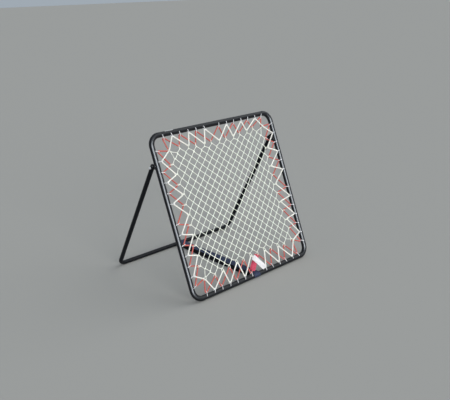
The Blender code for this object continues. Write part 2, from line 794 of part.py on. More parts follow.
def sleeve(name, lacing, finish, plane):
    """Make the flat fabric sleeve over a lacing's joint, open at both ends round the cord."""
    route = lacing_route(lacing)
    joint = (route[0] + route[-1]) / 2
    along = (route[1] - route[0]).normalized()
    half, edge = SLEEVE_WIDTH / 2, SLEEVE_EDGE
    section = [
        (-half, -edge), (-SLEEVE_CROWN, -SLEEVE_RISE), (SLEEVE_CROWN, -SLEEVE_RISE), (half, -edge),
        (half, edge), (SLEEVE_CROWN, SLEEVE_RISE), (-SLEEVE_CROWN, SLEEVE_RISE), (-half, edge),
    ]
    across = along.cross(Vector((0, 0, 1)))
    reach = along * SLEEVE_LENGTHS[lacing] / 2
    ends = [joint - reach, joint + reach]
    bm = bmesh.new()
    sweep(bm, ends, section, across)
    made = piece(name, bm, finish, plane)
    bore = bmesh.new()
    bore_radius = (LACING_RADIUS + GAP) / math.cos(math.pi / 8)
    beyond = along * 0.001
    sweep(bore, [ends[0] - beyond, ends[1] + beyond], round_section(bore_radius, 8), (0, 0, 1))
    boolean(made, cutter(name + "_bore", bore, plane), "DIFFERENCE")
    return made


def centre_on_floor(stand):
    """Slide the stand along Y so that the origin is under the middle of everything."""
    bpy.context.view_layer.update()
    graph = bpy.context.evaluated_depsgraph_get()
    low, high = math.inf, -math.inf
    for item in bpy.context.scene.objects:
        if item.type != "MESH" or item.hide_render:
            continue
        made = item.evaluated_get(graph)
        depths = [(made.matrix_world @ v.co).y for v in made.data.vertices]
        low, high = min(low, *depths), max(high, *depths)
    stand.location.y -= (low + high) / 2


def main():
    """Build the whole rebounder net."""
    clear_scene()
    stand = empty("stand", (0, 0, 0))
    middle = HALF_SPAN * Vector((0, math.sin(LEAN), math.cos(LEAN)))
    plane = empty("frame_plane", Vector((0, 0, RAIL_HEIGHT)) + middle, math.pi / 2 - LEAN, stand)
    pivot = empty("leg_pivot", (0, PIVOT_BACK, PIVOT_HEIGHT), math.pi / 2 + LEG_LEAN, stand)
    front_frame(plane)
    for hand, word in ((-1, "left"), (1, "right")):
        bracket("hinge_bracket_" + word, hand, plane)
        hinge_bolt("hinge_bolt_" + word, hand, plane)
        hinge_nut("hinge_nut_" + word, hand, plane)
        for which in ("outer_washer", "middle_washer", "inner_washer"):
            hinge_washer(which + "_" + word, hand, plane, which)
        leg_cap("leg_cap_" + word, hand, pivot)
    rear_leg(pivot)
    strap(stand)
    net(plane)
    edge_twine(plane)
    lacing_cord("lacing_white", "white", "white_cord", plane)
    lacing_cord("lacing_red", "red", "red_cord", plane)
    sleeve("joint_sleeve_white", "white", "white_fabric", plane)
    sleeve("joint_sleeve_red", "red", "crimson_fabric", plane)
    centre_on_floor(stand)


main()
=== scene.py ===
"""Looks of a rebounder net on a folding steel stand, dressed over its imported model.

Metres, +Z up, the net facing -Y. In the front frame's own plane, u runs to the right, v up the frame
and w out of its front. The hinge axis and the boxes of the solids say where everything stands.
"""

import json
import logging
import math
import random
from dataclasses import dataclass, field
from enum import Enum
from typing import Callable, Iterator, Mapping, Sequence

import bmesh
import bpy
from mathutils import Matrix, Vector, noise


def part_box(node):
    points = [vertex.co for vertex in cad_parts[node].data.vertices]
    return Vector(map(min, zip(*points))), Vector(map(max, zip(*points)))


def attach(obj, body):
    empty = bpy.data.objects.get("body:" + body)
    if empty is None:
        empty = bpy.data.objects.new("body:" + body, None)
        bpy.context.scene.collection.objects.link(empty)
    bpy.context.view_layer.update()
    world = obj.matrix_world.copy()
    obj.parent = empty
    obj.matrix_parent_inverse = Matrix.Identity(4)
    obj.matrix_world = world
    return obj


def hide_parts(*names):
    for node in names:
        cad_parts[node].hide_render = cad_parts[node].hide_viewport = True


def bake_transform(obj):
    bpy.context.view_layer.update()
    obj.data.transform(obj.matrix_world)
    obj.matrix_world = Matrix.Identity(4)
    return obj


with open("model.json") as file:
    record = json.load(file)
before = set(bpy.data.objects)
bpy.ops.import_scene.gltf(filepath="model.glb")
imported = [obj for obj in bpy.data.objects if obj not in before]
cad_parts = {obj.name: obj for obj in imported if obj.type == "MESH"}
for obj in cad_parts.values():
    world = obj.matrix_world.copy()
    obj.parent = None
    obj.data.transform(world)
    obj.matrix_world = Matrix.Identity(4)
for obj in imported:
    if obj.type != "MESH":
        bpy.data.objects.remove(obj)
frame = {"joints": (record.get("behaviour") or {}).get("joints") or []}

LOG = logging.getLogger("rebounder_net")
UV_NAME = "metres"
UP = Vector((0.0, 0.0, 1.0))
RIGHT = Vector((1.0, 0.0, 0.0))
HANDS = ((-1, "left"), (1, "right"))

# Points that are closer than this count as one.
HAIR = 1e-6

STRAP_WIDTH = 0.050
LACING_RADIUS = 0.004
LOOP_RADIUS = 0.002
TWINE_RADIUS = 0.0020
EDGE_RADIUS = 0.00195
KNOT_RADIUS = 0.0016

BMesh = bmesh.types.BMesh
Ring = list[bmesh.types.BMVert]
Colour = tuple[float, float, float]
Outline = list[tuple[float, float]]
Seat = tuple[Vector, Vector]


class Body(Enum):
    """The two bodies that the hinge joins."""

    FRAME = "frame"
    LEG = "leg"


# Shader maths


class Number:
    """A number inside a material, which takes part in Python expressions."""

    def __init__(self, book: "NodeBook", socket: bpy.types.NodeSocket) -> None:
        """Wrap a socket.

        Args:
            book: The material's nodes.
            socket: The output that gives the number.
        """
        self.book = book
        self.socket = socket

    def __add__(self, other: "Number | float") -> "Number":
        """Give self + other."""
        return self.book.maths("ADD", self, other)

    def __sub__(self, other: "Number | float") -> "Number":
        """Give self - other."""
        return self.book.maths("SUBTRACT", self, other)

    def __rsub__(self, other: float) -> "Number":
        """Give other - self."""
        return self.book.maths("SUBTRACT", other, self)

    def __mul__(self, other: "Number | float") -> "Number":
        """Give self * other."""
        return self.book.maths("MULTIPLY", self, other)

    def __truediv__(self, other: "Number | float") -> "Number":
        """Give self / other."""
        return self.book.maths("DIVIDE", self, other)

    __radd__ = __add__

    def floor(self) -> "Number":
        """Give the whole number below."""
        return self.book.maths("FLOOR", self)

    def fract(self) -> "Number":
        """Give what is left over the whole number below."""
        return self.book.maths("FRACT", self)

    def sine(self) -> "Number":
        """Give the sine of the number in radians."""
        return self.book.maths("SINE", self)

    def modulo(self, other: float) -> "Number":
        """Give the remainder, never below zero."""
        return self.book.maths("FLOORED_MODULO", self, other)

    def above(self, other: "Number | float") -> "Number":
        """Give 1 where the number is over other, or else 0."""
        return self.book.maths("GREATER_THAN", self, other)

    def least(self, other: "Number | float") -> "Number":
        """Give the smaller of the two."""
        return self.book.maths("MINIMUM", self, other)

    def rise(self, low: float, high: float) -> "Number":
        """Climb smoothly from 0 at low to 1 at high.

        Args:
            low: The number that gives 0.
            high: The number that gives 1, which may be the lower one.

        Returns:
            The smooth step between the two.
        """
        settings = {"interpolation_type": "SMOOTHSTEP"}
        inputs = {"Value": self, "From Min": low, "From Max": high}
        return self.book.number("ShaderNodeMapRange", settings, inputs, "Result")


class NodeBook:
    """The nodes of one material, round one Principled shader."""

    def __init__(self, name: str) -> None:
        """Open a new material with its shader wired to its surface."""
        self.material = bpy.data.materials.new(name)
        self.material.use_nodes = True
        self.tree = self.material.node_tree
        self.tree.nodes.clear()
        self.shader = self.node("ShaderNodeBsdfPrincipled", {}, {})
        self.node("ShaderNodeOutputMaterial", {}, {"Surface": self.shader.outputs["BSDF"]})

    def node(self, kind: str, settings: Mapping, inputs: Mapping) -> bpy.types.Node:
        """Add a node.

        Args:
            kind: The node's type.
            settings: What to set on the node first, by the name of each property.
            inputs: What goes into each input, by its name or its number.

        Returns:
            The new node.
        """
        made = self.tree.nodes.new(kind)
        for key, value in settings.items():
            setattr(made, key, value)
        for key, value in inputs.items():
            self.feed(self._input(made, key), value)
        return made

    @staticmethod
    def _input(made: bpy.types.Node, key: int | str) -> bpy.types.NodeSocket:
        """Find one of a node's inputs.

        Args:
            made: The node.
            key: The input's number, or its name if only one input in use has it.

        Returns:
            The input.
        """
        if isinstance(key, int):
            return made.inputs[key]
        return next(s for s in made.inputs if s.name == key and s.enabled)

    def feed(self, socket: bpy.types.NodeSocket, value: object) -> None:
        """Link a value to a socket, or set it there.

        Args:
            socket: The input to fill.
            value: A number, a colour, a vector, a socket or a Number.
        """
        if isinstance(value, Number):
            value = value.socket
        if isinstance(value, bpy.types.NodeSocket):
            self.tree.links.new(value, socket)
        elif socket.type == "RGBA":
            socket.default_value = (*value, 1.0)
        else:
            socket.default_value = value

    def maths(self, operation: str, *values: Number | float) -> Number:
        """Put numbers through one Math node.

        Args:
            operation: The Math node's operation.
            *values: What the operation works on, in order.

        Returns:
            The result.
        """
        made = self.node("ShaderNodeMath", {"operation": operation}, dict(enumerate(values)))
        return Number(self, made.outputs["Value"])

    def number(self, kind: str, settings: Mapping, inputs: Mapping, output: str) -> Number:
        """Add a node and give one of its outputs as a number."""
        return Number(self, self.node(kind, settings, inputs).outputs[output])

    def mix(self, share: Number | float, first: object, second: object) -> bpy.types.NodeSocket:
        """Mix two colours.

        Args:
            share: How much of the second colour shows, 0 to 1.
            first: The colour at 0.
            second: The colour at 1.

        Returns:
            The mixed colour's socket.
        """
        inputs = {"Factor": share, "A": first, "B": second}
        made = self.node("ShaderNodeMix", {"data_type": "RGBA"}, inputs)
        return next(s for s in made.outputs if s.enabled)

    def place(self) -> bpy.types.NodeSocket:
        """Give a point's place in metres."""
        return self.node("ShaderNodeTexCoord", {}, {}).outputs["Object"]

    def surface_metres(self) -> tuple[Number, Number]:
        """Read the surface's UV map.

        Returns:
            The distances along and across the surface, in metres.
        """
        mapped = self.node("ShaderNodeUVMap", {"uv_map": UV_NAME}, {})
        split = self.node("ShaderNodeSeparateXYZ", {}, {"Vector": mapped.outputs["UV"]})
        return Number(self, split.outputs["X"]), Number(self, split.outputs["Y"])

    def facing(self, axis: str) -> Number:
        """Give how far a surface faces one way of the world, from -1 to 1."""
        normal = self.node("ShaderNodeNewGeometry", {}, {}).outputs["Normal"]
        return self.number("ShaderNodeSeparateXYZ", {}, {"Vector": normal}, axis)

    def grain(self, size: float, detail: float, where: object = None) -> Number:
        """Give soft random variation.

        Args:
            size: The size of its patches in metres.
            detail: How many finer layers it has.
            where: The vector that it is read at, the point's place when left out.

        Returns:
            A number near one half, from 0 to 1.
        """
        spot = self.place() if where is None else where
        inputs = {"Vector": spot, "Scale": 1.0 / size, "Detail": detail}
        return self.number("ShaderNodeTexNoise", {}, inputs, "Fac")

    def stretched(self, factors: tuple[float, float, float]) -> bpy.types.NodeSocket:
        """Give the point's place, scaled by a factor along each axis."""
        mapped = self.node("ShaderNodeMapping", {}, {"Vector": self.place(), "Scale": factors})
        return mapped.outputs["Vector"]

    def raise_by(self, height: Number, metres: float, strength: float) -> None:
        """Shape the surface's shading by a height.

        Args:
            height: The height, 0 to 1.
            metres: The real height of 1.
            strength: How much of it shows.
        """
        inputs = {"Height": height, "Distance": metres, "Strength": strength}
        if self.shader.inputs["Normal"].is_linked:
            inputs["Normal"] = self.shader.inputs["Normal"].links[0].from_socket
        bump = self.node("ShaderNodeBump", {}, inputs)
        self.feed(self.shader.inputs["Normal"], bump.outputs["Normal"])

    def finish(self, **values: object) -> None:
        """Fill the shader's own sockets.

        Args:
            **values: What goes into each socket, by its name with _ for a space.
        """
        for name, value in values.items():
            self.feed(self.shader.inputs[name.replace("_", " ").title().replace("Ior", "IOR")], value)


# Finishes


@dataclass(frozen=True)
class Finish:
    """A finish of the object, and the record's slot that it belongs to."""

    slot: str

    def material(self, name: str) -> bpy.types.Material:
        """Make the finish for one piece.

        Args:
            name: The piece's name.

        Returns:
            Its material.
        """
        book = NodeBook(name)
        self.lay(book)
        return book.material

    def lay(self, book: NodeBook) -> None:
        """Build the finish out of nodes in a new material."""
        raise NotImplementedError


@dataclass(frozen=True)
class GlossPaint(Finish):
    """Black powder coat with a soft orange peel, rubbed places and a film of dust on top."""

    base: Colour = (0.0045, 0.0055, 0.0080)
    rubbed: Colour = (0.018, 0.020, 0.024)
    dust: Colour = (0.17, 0.175, 0.165)
    dust_share: float = 0.02
    roughness: float = 0.29
    gloss: float = 0.27
    patch: float = 0.055
    scratch: float = 0.0016
    dust_patch: float = 0.018
    peel: float = 0.0028
    peel_height: float = 0.00016

    def lay(self, book: NodeBook) -> None:
        """Rub the paint in places, and let dust settle on what faces up."""
        patches = book.grain(self.patch, 4.0)
        scratches = book.grain(self.scratch, 2.0, book.stretched((0.06, 0.25, 1.0)))
        rub = patches.rise(0.56, 0.72) * scratches.rise(0.50, 0.68)
        settled = book.facing("Z").rise(0.25, 1.0) * book.grain(self.dust_patch, 5.0).rise(0.30, 0.75)
        painted = book.mix(rub * 0.7, self.base, self.rubbed)
        dusty = book.mix(settled * self.dust_share, painted, self.dust)
        rough = self.roughness + patches * 0.08 + rub * 0.20 + settled * 0.06
        book.raise_by(book.grain(self.peel, 1.0), self.peel_height, 0.55)
        book.finish(base_color=dusty, roughness=rough, specular_ior_level=self.gloss)


@dataclass(frozen=True)
class ZincPlate(Finish):
    """Plating on a fastener, bright zinc unless told otherwise, with cloudy patches and tool marks."""

    bright: Colour = (0.97, 0.98, 1.0)
    cloudy: Colour = (0.78, 0.79, 0.82)
    metal: float = 0.45
    cloud: float = 0.0035
    mark: float = 0.00035
    mark_depth: float = 0.00004

    def lay(self, book: NodeBook) -> None:
        """Cloud the plating and mark it with fine lines."""
        clouds = book.grain(self.cloud, 4.0).rise(0.35, 0.70)
        marks = book.grain(self.mark, 1.0, book.stretched((4.0, 1.0, 1.0)))
        tone = book.mix(clouds, self.bright, self.cloudy)
        book.raise_by(marks, self.mark_depth, 0.5)
        book.finish(base_color=tone, roughness=clouds * 0.18 + 0.22, metallic=self.metal)


@dataclass(frozen=True)
class MouldedPlastic(Finish):
    """Plastic with a fine moulded grain."""

    base: Colour = (0.005, 0.005, 0.006)
    worn: Colour = (0.018, 0.019, 0.021)
    roughness: float = 0.50
    gloss: float = 0.25
    scuff: float = 0.004
    pore: float = 0.0007
    pore_depth: float = 0.00012

    def lay(self, book: NodeBook) -> None:
        """Scuff the plastic over its grain."""
        scuffs = book.grain(self.scuff, 5.0).rise(0.55, 0.75)
        book.raise_by(book.grain(self.pore, 3.0), self.pore_depth, 0.6)
        tone = book.mix(scuffs * 0.6, self.base, self.worn)
        book.finish(
            base_color=tone, roughness=scuffs * 0.15 + self.roughness, specular_ior_level=self.gloss,
        )


@dataclass(frozen=True)
class Webbing(Finish):
    """Flat dark webbing: rows of yarn along the strap, each step of the twill lying over the next."""

    yarn: Colour = (0.055, 0.073, 0.142)
    faded: Colour = (0.078, 0.098, 0.180)
    # painted shade: the near-black tone of the grooves between the rows of yarn
    gap: Colour = (0.003, 0.003, 0.005)
    # painted shade: the near-black tone of the face that turns into the loop, where the top run shades
    # it
    inside: Colour = (0.002, 0.002, 0.003)
    sheen_colour: Colour = (0.55, 0.62, 0.80)
    width: float = STRAP_WIDTH
    rib: float = 0.00125
    stitch: float = 0.0030
    relief: float = 0.00035
    fibre: float = 0.0009
    wear_patch: float = 0.06

    def lay(self, book: NodeBook) -> None:
        """Weave the webbing, with painted shade in the grooves between its rows; the face that turns in
        starts where its width ends, and is painted near-black as the shade inside the loop.
        """
        along, across = book.surface_metres()
        row = across / self.rib
        place = along / self.stitch + row.floor() * 0.25
        crown = (row.fract() * math.pi).sine()
        step = (place.fract() * math.pi).sine()
        height = crown * (step * 0.6 + 0.4)
        fuzz = book.grain(self.fibre, 3.0)
        shade = height.rise(0.05, 0.65) * (fuzz * 0.5 + 0.7)
        worn = book.mix(book.grain(self.wear_patch, 3.0).rise(0.45, 0.75) * 0.5, self.yarn, self.faded)
        book.raise_by(height, self.relief, 0.9)
        # painted shade: the gap tone darkens the weave where it sinks between its rows
        outer = book.mix(shade, self.gap, worn)
        # painted shade: the face that turns into the loop takes the near-black inside tone
        tone = book.mix(across.above(self.width), self.inside, outer)
        book.finish(
            base_color=tone, roughness=0.88 - height * 0.10, specular_ior_level=0.08,
            sheen_weight=0.04, sheen_roughness=0.4, sheen_tint=self.sheen_colour,
        )


@dataclass(frozen=True)
class BraidedCord(Finish):
    """Braided cord: two families of yarns that pass over and under each other round the cord."""

    yarn: Colour
    shadow: Colour
    grime: Colour
    radius: float
    carriers: int = 4
    pitch: float = 0.0042
    relief: float = 0.0005
    fibre: float = 0.0005
    dirt_patch: float = 0.035

    def lay(self, book: NodeBook) -> None:
        """Wind yarns both ways round the cord, and let dirt settle in them."""
        along, around = book.surface_metres()
        girth = math.tau * self.radius
        turned = around * (self.carriers / girth)
        rightward = along / self.pitch + turned
        leftward = along / self.pitch - turned
        over = (rightward.floor() + leftward.floor()).modulo(2.0)
        first = (rightward.fract() * math.pi).sine()
        second = (leftward.fract() * math.pi).sine()
        height = (first * 0.7 + second * 0.3) * over + (second * 0.7 + first * 0.3) * (1 - over)
        dirt = book.grain(self.dirt_patch, 4.0).rise(0.48, 0.78)
        fibre = book.grain(self.fibre, 2.0)
        worn = book.mix(dirt * 0.35, self.yarn, self.grime)
        tone = book.mix(height.rise(0.08, 0.62), self.shadow, worn)
        book.raise_by(height + fibre * 0.15, self.relief, 0.8)
        book.finish(
            base_color=tone, roughness=0.78 - height * 0.12, specular_ior_level=0.25, sheen_weight=0.08,
        )


@dataclass(frozen=True)
class LaidTwine(Finish):
    """Twine of a few plies twisted together."""

    yarn: Colour
    shadow: Colour
    grime: Colour
    radius: float
    plies: int = 3
    pitch: float = 0.009
    relief: float = 0.0004
    fibre: float = 0.0004
    dirt_patch: float = 0.05

    def lay(self, book: NodeBook) -> None:
        """Twist the plies round the twine, and let dirt settle in them."""
        along, around = book.surface_metres()
        turned = around * (self.plies / (math.tau * self.radius)) + along * (self.plies / self.pitch)
        height = (turned.fract() * math.pi).sine()
        fibre = book.grain(self.fibre, 2.0)
        dirt = book.grain(self.dirt_patch, 4.0).rise(0.45, 0.80)
        worn = book.mix(dirt * 0.30, self.yarn, self.grime)
        tone = book.mix(height.rise(0.02, 0.50), self.shadow, worn)
        book.raise_by(height + fibre * 0.2, self.relief, 0.8)
        book.finish(base_color=tone, roughness=0.70, specular_ior_level=0.25, sheen_weight=0.06)


@dataclass(frozen=True)
class SleeveCloth(Finish):
    """Soft woven cloth, creased and a little soiled, with a stitched hem near each end."""

    cloth: Colour
    # painted shade: the darker tone of the creases, also used for the stitches
    fold: Colour
    grime: Colour
    length: float
    hem: float = 0.008
    groove: float = 0.0008
    groove_depth: float = 0.0005
    stitch: float = 0.0026
    thread: float = 0.0009
    thread_height: float = 0.00018
    crease: float = 0.017
    crease_height: float = 0.0022
    soil_patch: float = 0.03

    def lay(self, book: NodeBook) -> None:
        """Weave, crease and soil the cloth, paint shade into its creases, and stitch its hems."""
        along, across = book.surface_metres()
        warp = (along * (math.tau / self.thread)).sine()
        weft = (across * (math.tau / self.thread)).sine()
        weave = warp * weft * 0.5 + 0.5
        creases = book.grain(self.crease, 2.0)
        soil = book.grain(self.soil_patch, 4.0).rise(0.5, 0.8)
        from_end = along.least(self.length - along)
        before, after = self.hem - self.groove, self.hem + self.groove
        seam = from_end.rise(before, self.hem) * from_end.rise(after, self.hem)
        stitches = seam * (across / self.stitch).fract().above(0.35)
        soiled = book.mix(soil * 0.35, self.cloth, self.grime)
        # painted shade: the fold tone darkens the creases where their height is low
        creased = book.mix(creases.rise(0.30, 0.50), self.fold, soiled)
        # the stitches of the hems are drawn in the same darker fold tone
        tone = book.mix(stitches * 0.35, creased, self.fold)
        book.raise_by(weave, self.thread_height, 0.6)
        book.raise_by(creases, self.crease_height, 0.40)
        book.raise_by(1 - seam, self.groove_depth, 0.6)
        book.finish(
            base_color=tone, roughness=0.82, specular_ior_level=0.2,
            sheen_weight=0.15, sheen_roughness=0.5,
        )


@dataclass(frozen=True)
class LabelFilm(Finish):
    """Plain pale film, bare of any print, yellowed in patches."""

    film: Colour = (0.60, 0.62, 0.62)
    aged: Colour = (0.42, 0.43, 0.40)
    wear_patch: float = 0.006
    cockle: float = 0.004
    cockle_height: float = 0.0001

    def lay(self, book: NodeBook) -> None:
        """Age the film in patches and cockle it a little."""
        wear = book.grain(self.wear_patch, 4.0).rise(0.48, 0.72)
        book.raise_by(book.grain(self.cockle, 2.0), self.cockle_height, 0.4)
        tone = book.mix(wear * 0.6, self.film, self.aged)
        book.finish(base_color=tone, roughness=wear * 0.2 + 0.30)


@dataclass(frozen=True)
class StudioFloor(Finish):
    """The plain pale floor."""

    tone: Colour = (0.41, 0.405, 0.385)

    def lay(self, book: NodeBook) -> None:
        """Make the floor matt."""
        book.finish(base_color=self.tone, roughness=0.9, specular_ior_level=0.0)


FRAME_PAINT = GlossPaint("frame_paint")
LEG_PAINT = GlossPaint("leg_paint", gloss=0.15)
BRACKET_PAINT = GlossPaint("bracket_paint", gloss=0.14)
LABEL_FILM = LabelFilm("frame_paint")
ZINC = ZincPlate("fastener_zinc")
BLACK_ZINC = ZincPlate("fastener_zinc", (0.030, 0.031, 0.034), (0.018, 0.018, 0.020), 0.6)
NYLON = MouldedPlastic("fastener_zinc", (0.55, 0.56, 0.52), (0.40, 0.40, 0.36), 0.40)
CAP_PLASTIC = MouldedPlastic("cap_plastic")
STRAP_WEBBING = Webbing("strap_webbing")
STRAP_THREAD = MouldedPlastic("strap_webbing", (0.060, 0.064, 0.080), (0.095, 0.100, 0.115), 0.70)
LOOP_CORD = BraidedCord(
    "white_cord", (0.88, 0.89, 0.91), (0.56, 0.56, 0.60), (0.66, 0.65, 0.62), LOOP_RADIUS,
    pitch=0.0030, relief=0.00035,
)
WHITE_BRAID = BraidedCord(
    "white_cord", (0.96, 0.95, 0.88), (0.72, 0.71, 0.64), (0.76, 0.74, 0.64), LACING_RADIUS,
)
RED_BRAID = BraidedCord(
    "red_cord", (0.62, 0.120, 0.092), (0.36, 0.050, 0.040), (0.46, 0.18, 0.14), LACING_RADIUS,
)
NET_TWINE = LaidTwine(
    "net_twine", (0.96, 1.0, 0.89), (0.80, 0.85, 0.72), (0.84, 0.87, 0.73), TWINE_RADIUS,
)
EDGE_TWINE = LaidTwine(
    "net_twine", (0.97, 0.99, 0.90), (0.80, 0.85, 0.72), (0.84, 0.87, 0.73), EDGE_RADIUS,
)
KNOT_TWINE = LaidTwine(
    "net_twine", (0.99, 1.0, 0.95), (0.90, 0.92, 0.84), (0.92, 0.94, 0.86), KNOT_RADIUS,
)
# each cloth's second colour is the painted shade of its creases
WHITE_CLOTH = SleeveCloth(
    "white_fabric", (0.85, 0.83, 0.85), (0.72, 0.70, 0.74), (0.72, 0.70, 0.66), 0.114,
)
CRIMSON_CLOTH = SleeveCloth(
    "crimson_fabric", (0.60, 0.050, 0.105), (0.42, 0.025, 0.07), (0.44, 0.05, 0.08), 0.104,
)


# Meshes

# A corner is left as it is where half its angle is over this.
NEARLY_STRAIGHT = math.radians(88.5)
# The share of a run between two corners that one bend may take up.
BEND_SHARE = 0.499


def round_outline(radius: float, sides: int, first: float = 0.0) -> Outline:
    """Give the corners of a round section.

    Args:
        radius: From the middle to a corner.
        sides: How many corners.
        first: The angle of the first corner.

    Returns:
        The corners, in order.
    """
    angles = (first + math.tau * i / sides for i in range(sides))
    return [(radius * math.cos(a), radius * math.sin(a)) for a in angles]


def flat_outline(width: float, thickness: float, steps: int) -> Outline:
    """Give a flat section with rounded edges, such as webbing has.

    Args:
        width: From edge to edge.
        thickness: From face to face.
        steps: How many spans each face has.

    Returns:
        The corners, in order.
    """
    half, thick = width / 2 - thickness / 2, thickness / 2
    spread = [half * (2 * i / steps - 1) for i in range(steps + 1)]
    lower = [(a, -thick) for a in spread]
    upper = [(a, thick) for a in reversed(spread)]
    return lower + [(width / 2, 0.0)] + upper + [(-width / 2, 0.0)]


def fillet(points: Sequence[Vector], radius: float, steps: int, closed: bool = False) -> list[Vector]:
    """Round each bend of a path.

    Args:
        points: The path's corners.
        radius: The radius of each bend, smaller where a run is too short for it.
        steps: How many spans each bend has.
        closed: Whether the path is a loop.

    Returns:
        The points of the rounded path.
    """
    count = len(points)
    made = []
    for i, corner in enumerate(points):
        if not closed and i in (0, count - 1):
            made.append(corner.copy())
            continue
        before, after = points[i - 1] - corner, points[(i + 1) % count] - corner
        half = before.angle(after) / 2
        if half > NEARLY_STRAIGHT:
            made.append(corner.copy())
            continue
        reach = min(radius / math.tan(half), before.length * BEND_SHARE, after.length * BEND_SHARE)
        bend = reach * math.tan(half)
        back, ahead = before.normalized(), after.normalized()
        centre = corner + (back + ahead).normalized() * (bend / math.sin(half))
        axis = ahead.cross(back).normalized()
        start = corner + back * reach - centre
        turn = math.pi - 2 * half
        made += [centre + Matrix.Rotation(turn * j / steps, 3, axis) @ start for j in range(steps + 1)]
    return made


def append(bm: BMesh, other: BMesh, place: Matrix | None = None) -> None:
    """Add one mesh to another.

    Args:
        bm: The mesh that grows.
        other: The mesh to add, which is freed.
        place: Where it goes, if it moves.
    """
    if place is not None:
        other.transform(place)
    mesh = bpy.data.meshes.new("part")
    other.to_mesh(mesh)
    other.free()
    bm.from_mesh(mesh)
    bpy.data.meshes.remove(mesh)


@dataclass
class Sweep:
    """A section carried along a path, mitred at each bend, with a UV map in metres.

    The section's first number runs along side, and its second along the path's direction x side.
    """

    path: Sequence[Vector]
    section: Outline
    side: Vector
    closed: bool = False
    capped: bool = True
    scale: Callable[[float], float] | None = None

    def build(self, bm: BMesh) -> list[Ring]:
        """Extrude the section along the path.

        Args:
            bm: The mesh that gets it.

        Returns:
            The rings of vertices, from the path's start to its end.
        """
        points = [Vector(p) for p in self.path]
        count = len(points)
        runs = [(points[(i + 1) % count] - points[i]).normalized() for i in range(count)]
        travel = runs[-1] if self.closed else runs[0]
        side = (self.side - travel * travel.dot(self.side)).normalized()
        up = travel.cross(side)
        ring = [bm.verts.new(points[0] + side * a + up * b) for a, b in self.section]
        if self.closed:
            self._mitre(ring, travel, points[0], travel + runs[0])
        edges = [bm.edges.new((ring[i], ring[(i + 1) % len(ring)])) for i in range(len(ring))]
        rings = [ring]
        last_size = self._size(0.0)
        self._resize(ring, points[0], last_size)
        lengths = self._lengths(points)
        for i in range(1, count):
            grown = bmesh.ops.extrude_edge_only(bm, edges=edges)["geom"]
            fresh = {g for g in grown if isinstance(g, bmesh.types.BMVert)}
            ring = [
                next(e.other_vert(v) for e in v.link_edges if e.other_vert(v) in fresh) for v in ring
            ]
            ahead = runs[i] if self.closed or i < count - 1 else runs[i - 1]
            self._mitre(ring, runs[i - 1], points[i], runs[i - 1] + ahead)
            size = self._size(lengths[i] / lengths[-1])
            self._resize(ring, points[i], size / last_size)
            last_size = size
            pairs = zip(ring, ring[1:] + ring[:1])
            edges = [next(e for e in a.link_edges if e.other_vert(a) is b) for a, b in pairs]
            rings.append(ring)
        self._close(bm, rings)
        self._map(bm, rings, lengths)
        return rings

    def mesh(self) -> BMesh:
        """Build the sweep as a mesh of its own.

        Returns:
            That mesh.
        """
        own = bmesh.new()
        self.build(own)
        return own

    def add_to(self, bm: BMesh) -> None:
        """Build the sweep on its own, which is quicker, and add it to a mesh of many."""
        append(bm, self.mesh())

    def _size(self, share: float) -> float:
        """Give the section's scale at a share of the path's length."""
        return self.scale(share) if self.scale else 1.0

    def _lengths(self, points: Sequence[Vector]) -> list[float]:
        """Measure the path.

        Args:
            points: The path's points.

        Returns:
            The distance along the path at each point, and at the end of a loop.
        """
        spans = [(b - a).length for a, b in zip(points, points[1:])]
        if self.closed:
            spans.append((points[0] - points[-1]).length)
        lengths = [0.0]
        for span in spans:
            lengths.append(lengths[-1] + span)
        return lengths

    @staticmethod
    def _resize(ring: Ring, point: Vector, size: float) -> None:
        """Scale a ring about the path's point."""
        for v in ring:
            v.co = point + (v.co - point) * size

    @staticmethod
    def _mitre(ring: Ring, travel: Vector, point: Vector, normal: Vector) -> None:
        """Slide a ring along the path onto the plane that halves the bend."""
        for v in ring:
            v.co = v.co + travel * ((point - v.co).dot(normal) / travel.dot(normal))

    def _close(self, bm: BMesh, rings: Sequence[Ring]) -> None:
        """Join a loop's last ring to its first, or cap the two ends.

        Args:
            bm: The mesh that holds the rings.
            rings: The rings of vertices along the path.
        """
        first, last = rings[0], rings[-1]
        if self.closed:
            for i in range(len(first)):
                j = (i + 1) % len(first)
                bm.faces.new((last[i], last[j], first[j], first[i]))
        elif self.capped:
            bm.faces.new(first)
            bm.faces.new(last)

    def _map(self, bm: BMesh, rings: Sequence[Ring], lengths: Sequence[float]) -> None:
        """Lay the UV map: distance along the path, and distance round the section.

        Args:
            bm: The mesh that holds the rings.
            rings: The rings of vertices along the path.
            lengths: The distance along the path at each ring, and at the end of a loop.
        """
        layer = bm.loops.layers.uv.get(UV_NAME) or bm.loops.layers.uv.new(UV_NAME)
        corners = [Vector(corner) for corner in self.section]
        girths = [0.0]
        for a, b in zip(corners, corners[1:] + corners[:1]):
            girths.append(girths[-1] + (b - a).length)
        spots = {v: (i, k) for i, ring in enumerate(rings) for k, v in enumerate(ring)}
        for face in {f for ring in rings for v in ring for f in v.link_faces}:
            held = [spots[loop.vert] for loop in face.loops]
            wraps = max(k for _, k in held) - min(k for _, k in held) > 1
            returns = max(i for i, _ in held) - min(i for i, _ in held) > 1
            for loop, (i, k) in zip(face.loops, held):
                i = len(rings) if returns and i == 0 else i
                k = len(corners) if wraps and k == 0 and len(held) == 4 else k
                loop[layer].uv = (lengths[i], girths[k])


